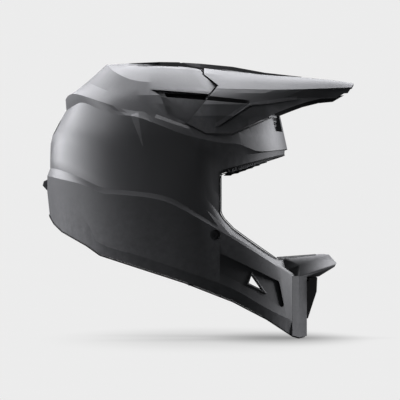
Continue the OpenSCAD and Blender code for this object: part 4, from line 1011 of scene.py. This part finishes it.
def studio_world(tone):
    """A world that is pale for the camera and dim for the helmet"""
    world = bpy.data.worlds.new("Studio")
    bpy.context.scene.world = world
    world.use_nodes = True
    tree = world.node_tree
    plain = tree.nodes["Background"]
    dim = tree.nodes.new("ShaderNodeBackground")
    for node, shade, strength in ((plain, tone, 1.0), (dim, DIM_COLOUR, DIM_STRENGTH)):
        node.inputs["Color"].default_value = (*shade, 1.0)
        node.inputs["Strength"].default_value = strength
    seen = tree.nodes.new("ShaderNodeLightPath").outputs["Is Camera Ray"]
    mix = tree.nodes.new("ShaderNodeMixShader")
    feed(tree, mix.inputs, (seen, dim.outputs[0], plain.outputs[0]))
    tree.links.new(mix.outputs[0], tree.nodes["World Output"].inputs["Surface"])


def soft_light(name, place, size, watts):
    """A soft box aimed at the helmet"""
    lamp = bpy.data.lights.new(name, "AREA")
    lamp.shape = "RECTANGLE"
    lamp.size, lamp.size_y = size
    lamp.energy = watts
    lamp.color = LIGHT_COLOUR
    holder = bpy.data.objects.new(name, lamp)
    bpy.context.scene.collection.objects.link(holder)
    holder.location = place
    holder.rotation_euler = (LIGHT_AIM - Vector(place)).to_track_quat("-Z", "Y").to_euler()


def side_camera():
    """A long lens off the helmet's right side, a little low and aimed at its middle"""
    camera = bpy.data.cameras.new("Camera")
    camera.sensor_width = CAMERA_SENSOR
    camera.lens = CAMERA_LENS
    camera.clip_end = CAMERA_REACH
    viewer = bpy.data.objects.new("Camera", camera)
    bpy.context.scene.collection.objects.link(viewer)
    viewer.location = CAMERA_PLACE
    tilt = math.atan(CAMERA_PLACE[2] / CAMERA_PLACE[1])
    viewer.rotation_euler = (math.pi / 2 + tilt, 0.0, 0.0)
    bpy.context.scene.camera = viewer


class HELMET_OT_stage(bpy.types.Operator):
    """Sets the pale studio, its soft lights and the camera"""

    bl_idname = "helmet.stage"
    bl_label = "Stage"

    def execute(self, context):
        tone = tuple(colours().paper)
        paper_sweep(tone)
        studio_world(tone)
        for name, (place, size, watts) in LIGHTS.items():
            soft_light(name, place, size, watts)
        side_camera()
        context.scene.view_settings.view_transform = "Standard"
        return {"FINISHED"}


class HELMET_PT_panel(bpy.types.Panel):
    """Lists the steps that dress the helmet"""

    bl_idname = "HELMET_PT_panel"
    bl_label = "Full face helmet"
    bl_space_type = "VIEW_3D"
    bl_region_type = "UI"
    bl_category = "Helmet"

    def draw(self, context):
        for group in (context.scene.helmet_sizes, context.scene.helmet_colours):
            column = self.layout.column(align=True)
            for name in group.__annotations__:
                column.prop(group, name)
        for step in STEPS:
            self.layout.operator(step.bl_idname)


STEPS = (HELMET_OT_shell, HELMET_OT_trims, HELMET_OT_vents, HELMET_OT_foam, HELMET_OT_pads,
         HELMET_OT_straps, HELMET_OT_hardware, HELMET_OT_stage)
CLASSES = (HelmetSizes, HelmetColours, *STEPS, HELMET_PT_panel)


def register():
    for cls in CLASSES:
        bpy.utils.register_class(cls)
    bpy.types.Scene.helmet_sizes = bpy.props.PointerProperty(type=HelmetSizes)
    bpy.types.Scene.helmet_colours = bpy.props.PointerProperty(type=HelmetColours)


def unregister():
    del bpy.types.Scene.helmet_colours
    del bpy.types.Scene.helmet_sizes
    for cls in reversed(CLASSES):
        bpy.utils.unregister_class(cls)


def main():
    register()
    for step in STEPS:
        package, name = step.bl_idname.split(".")
        getattr(getattr(bpy.ops, package), name)()


if __name__ == "__main__":
    main()
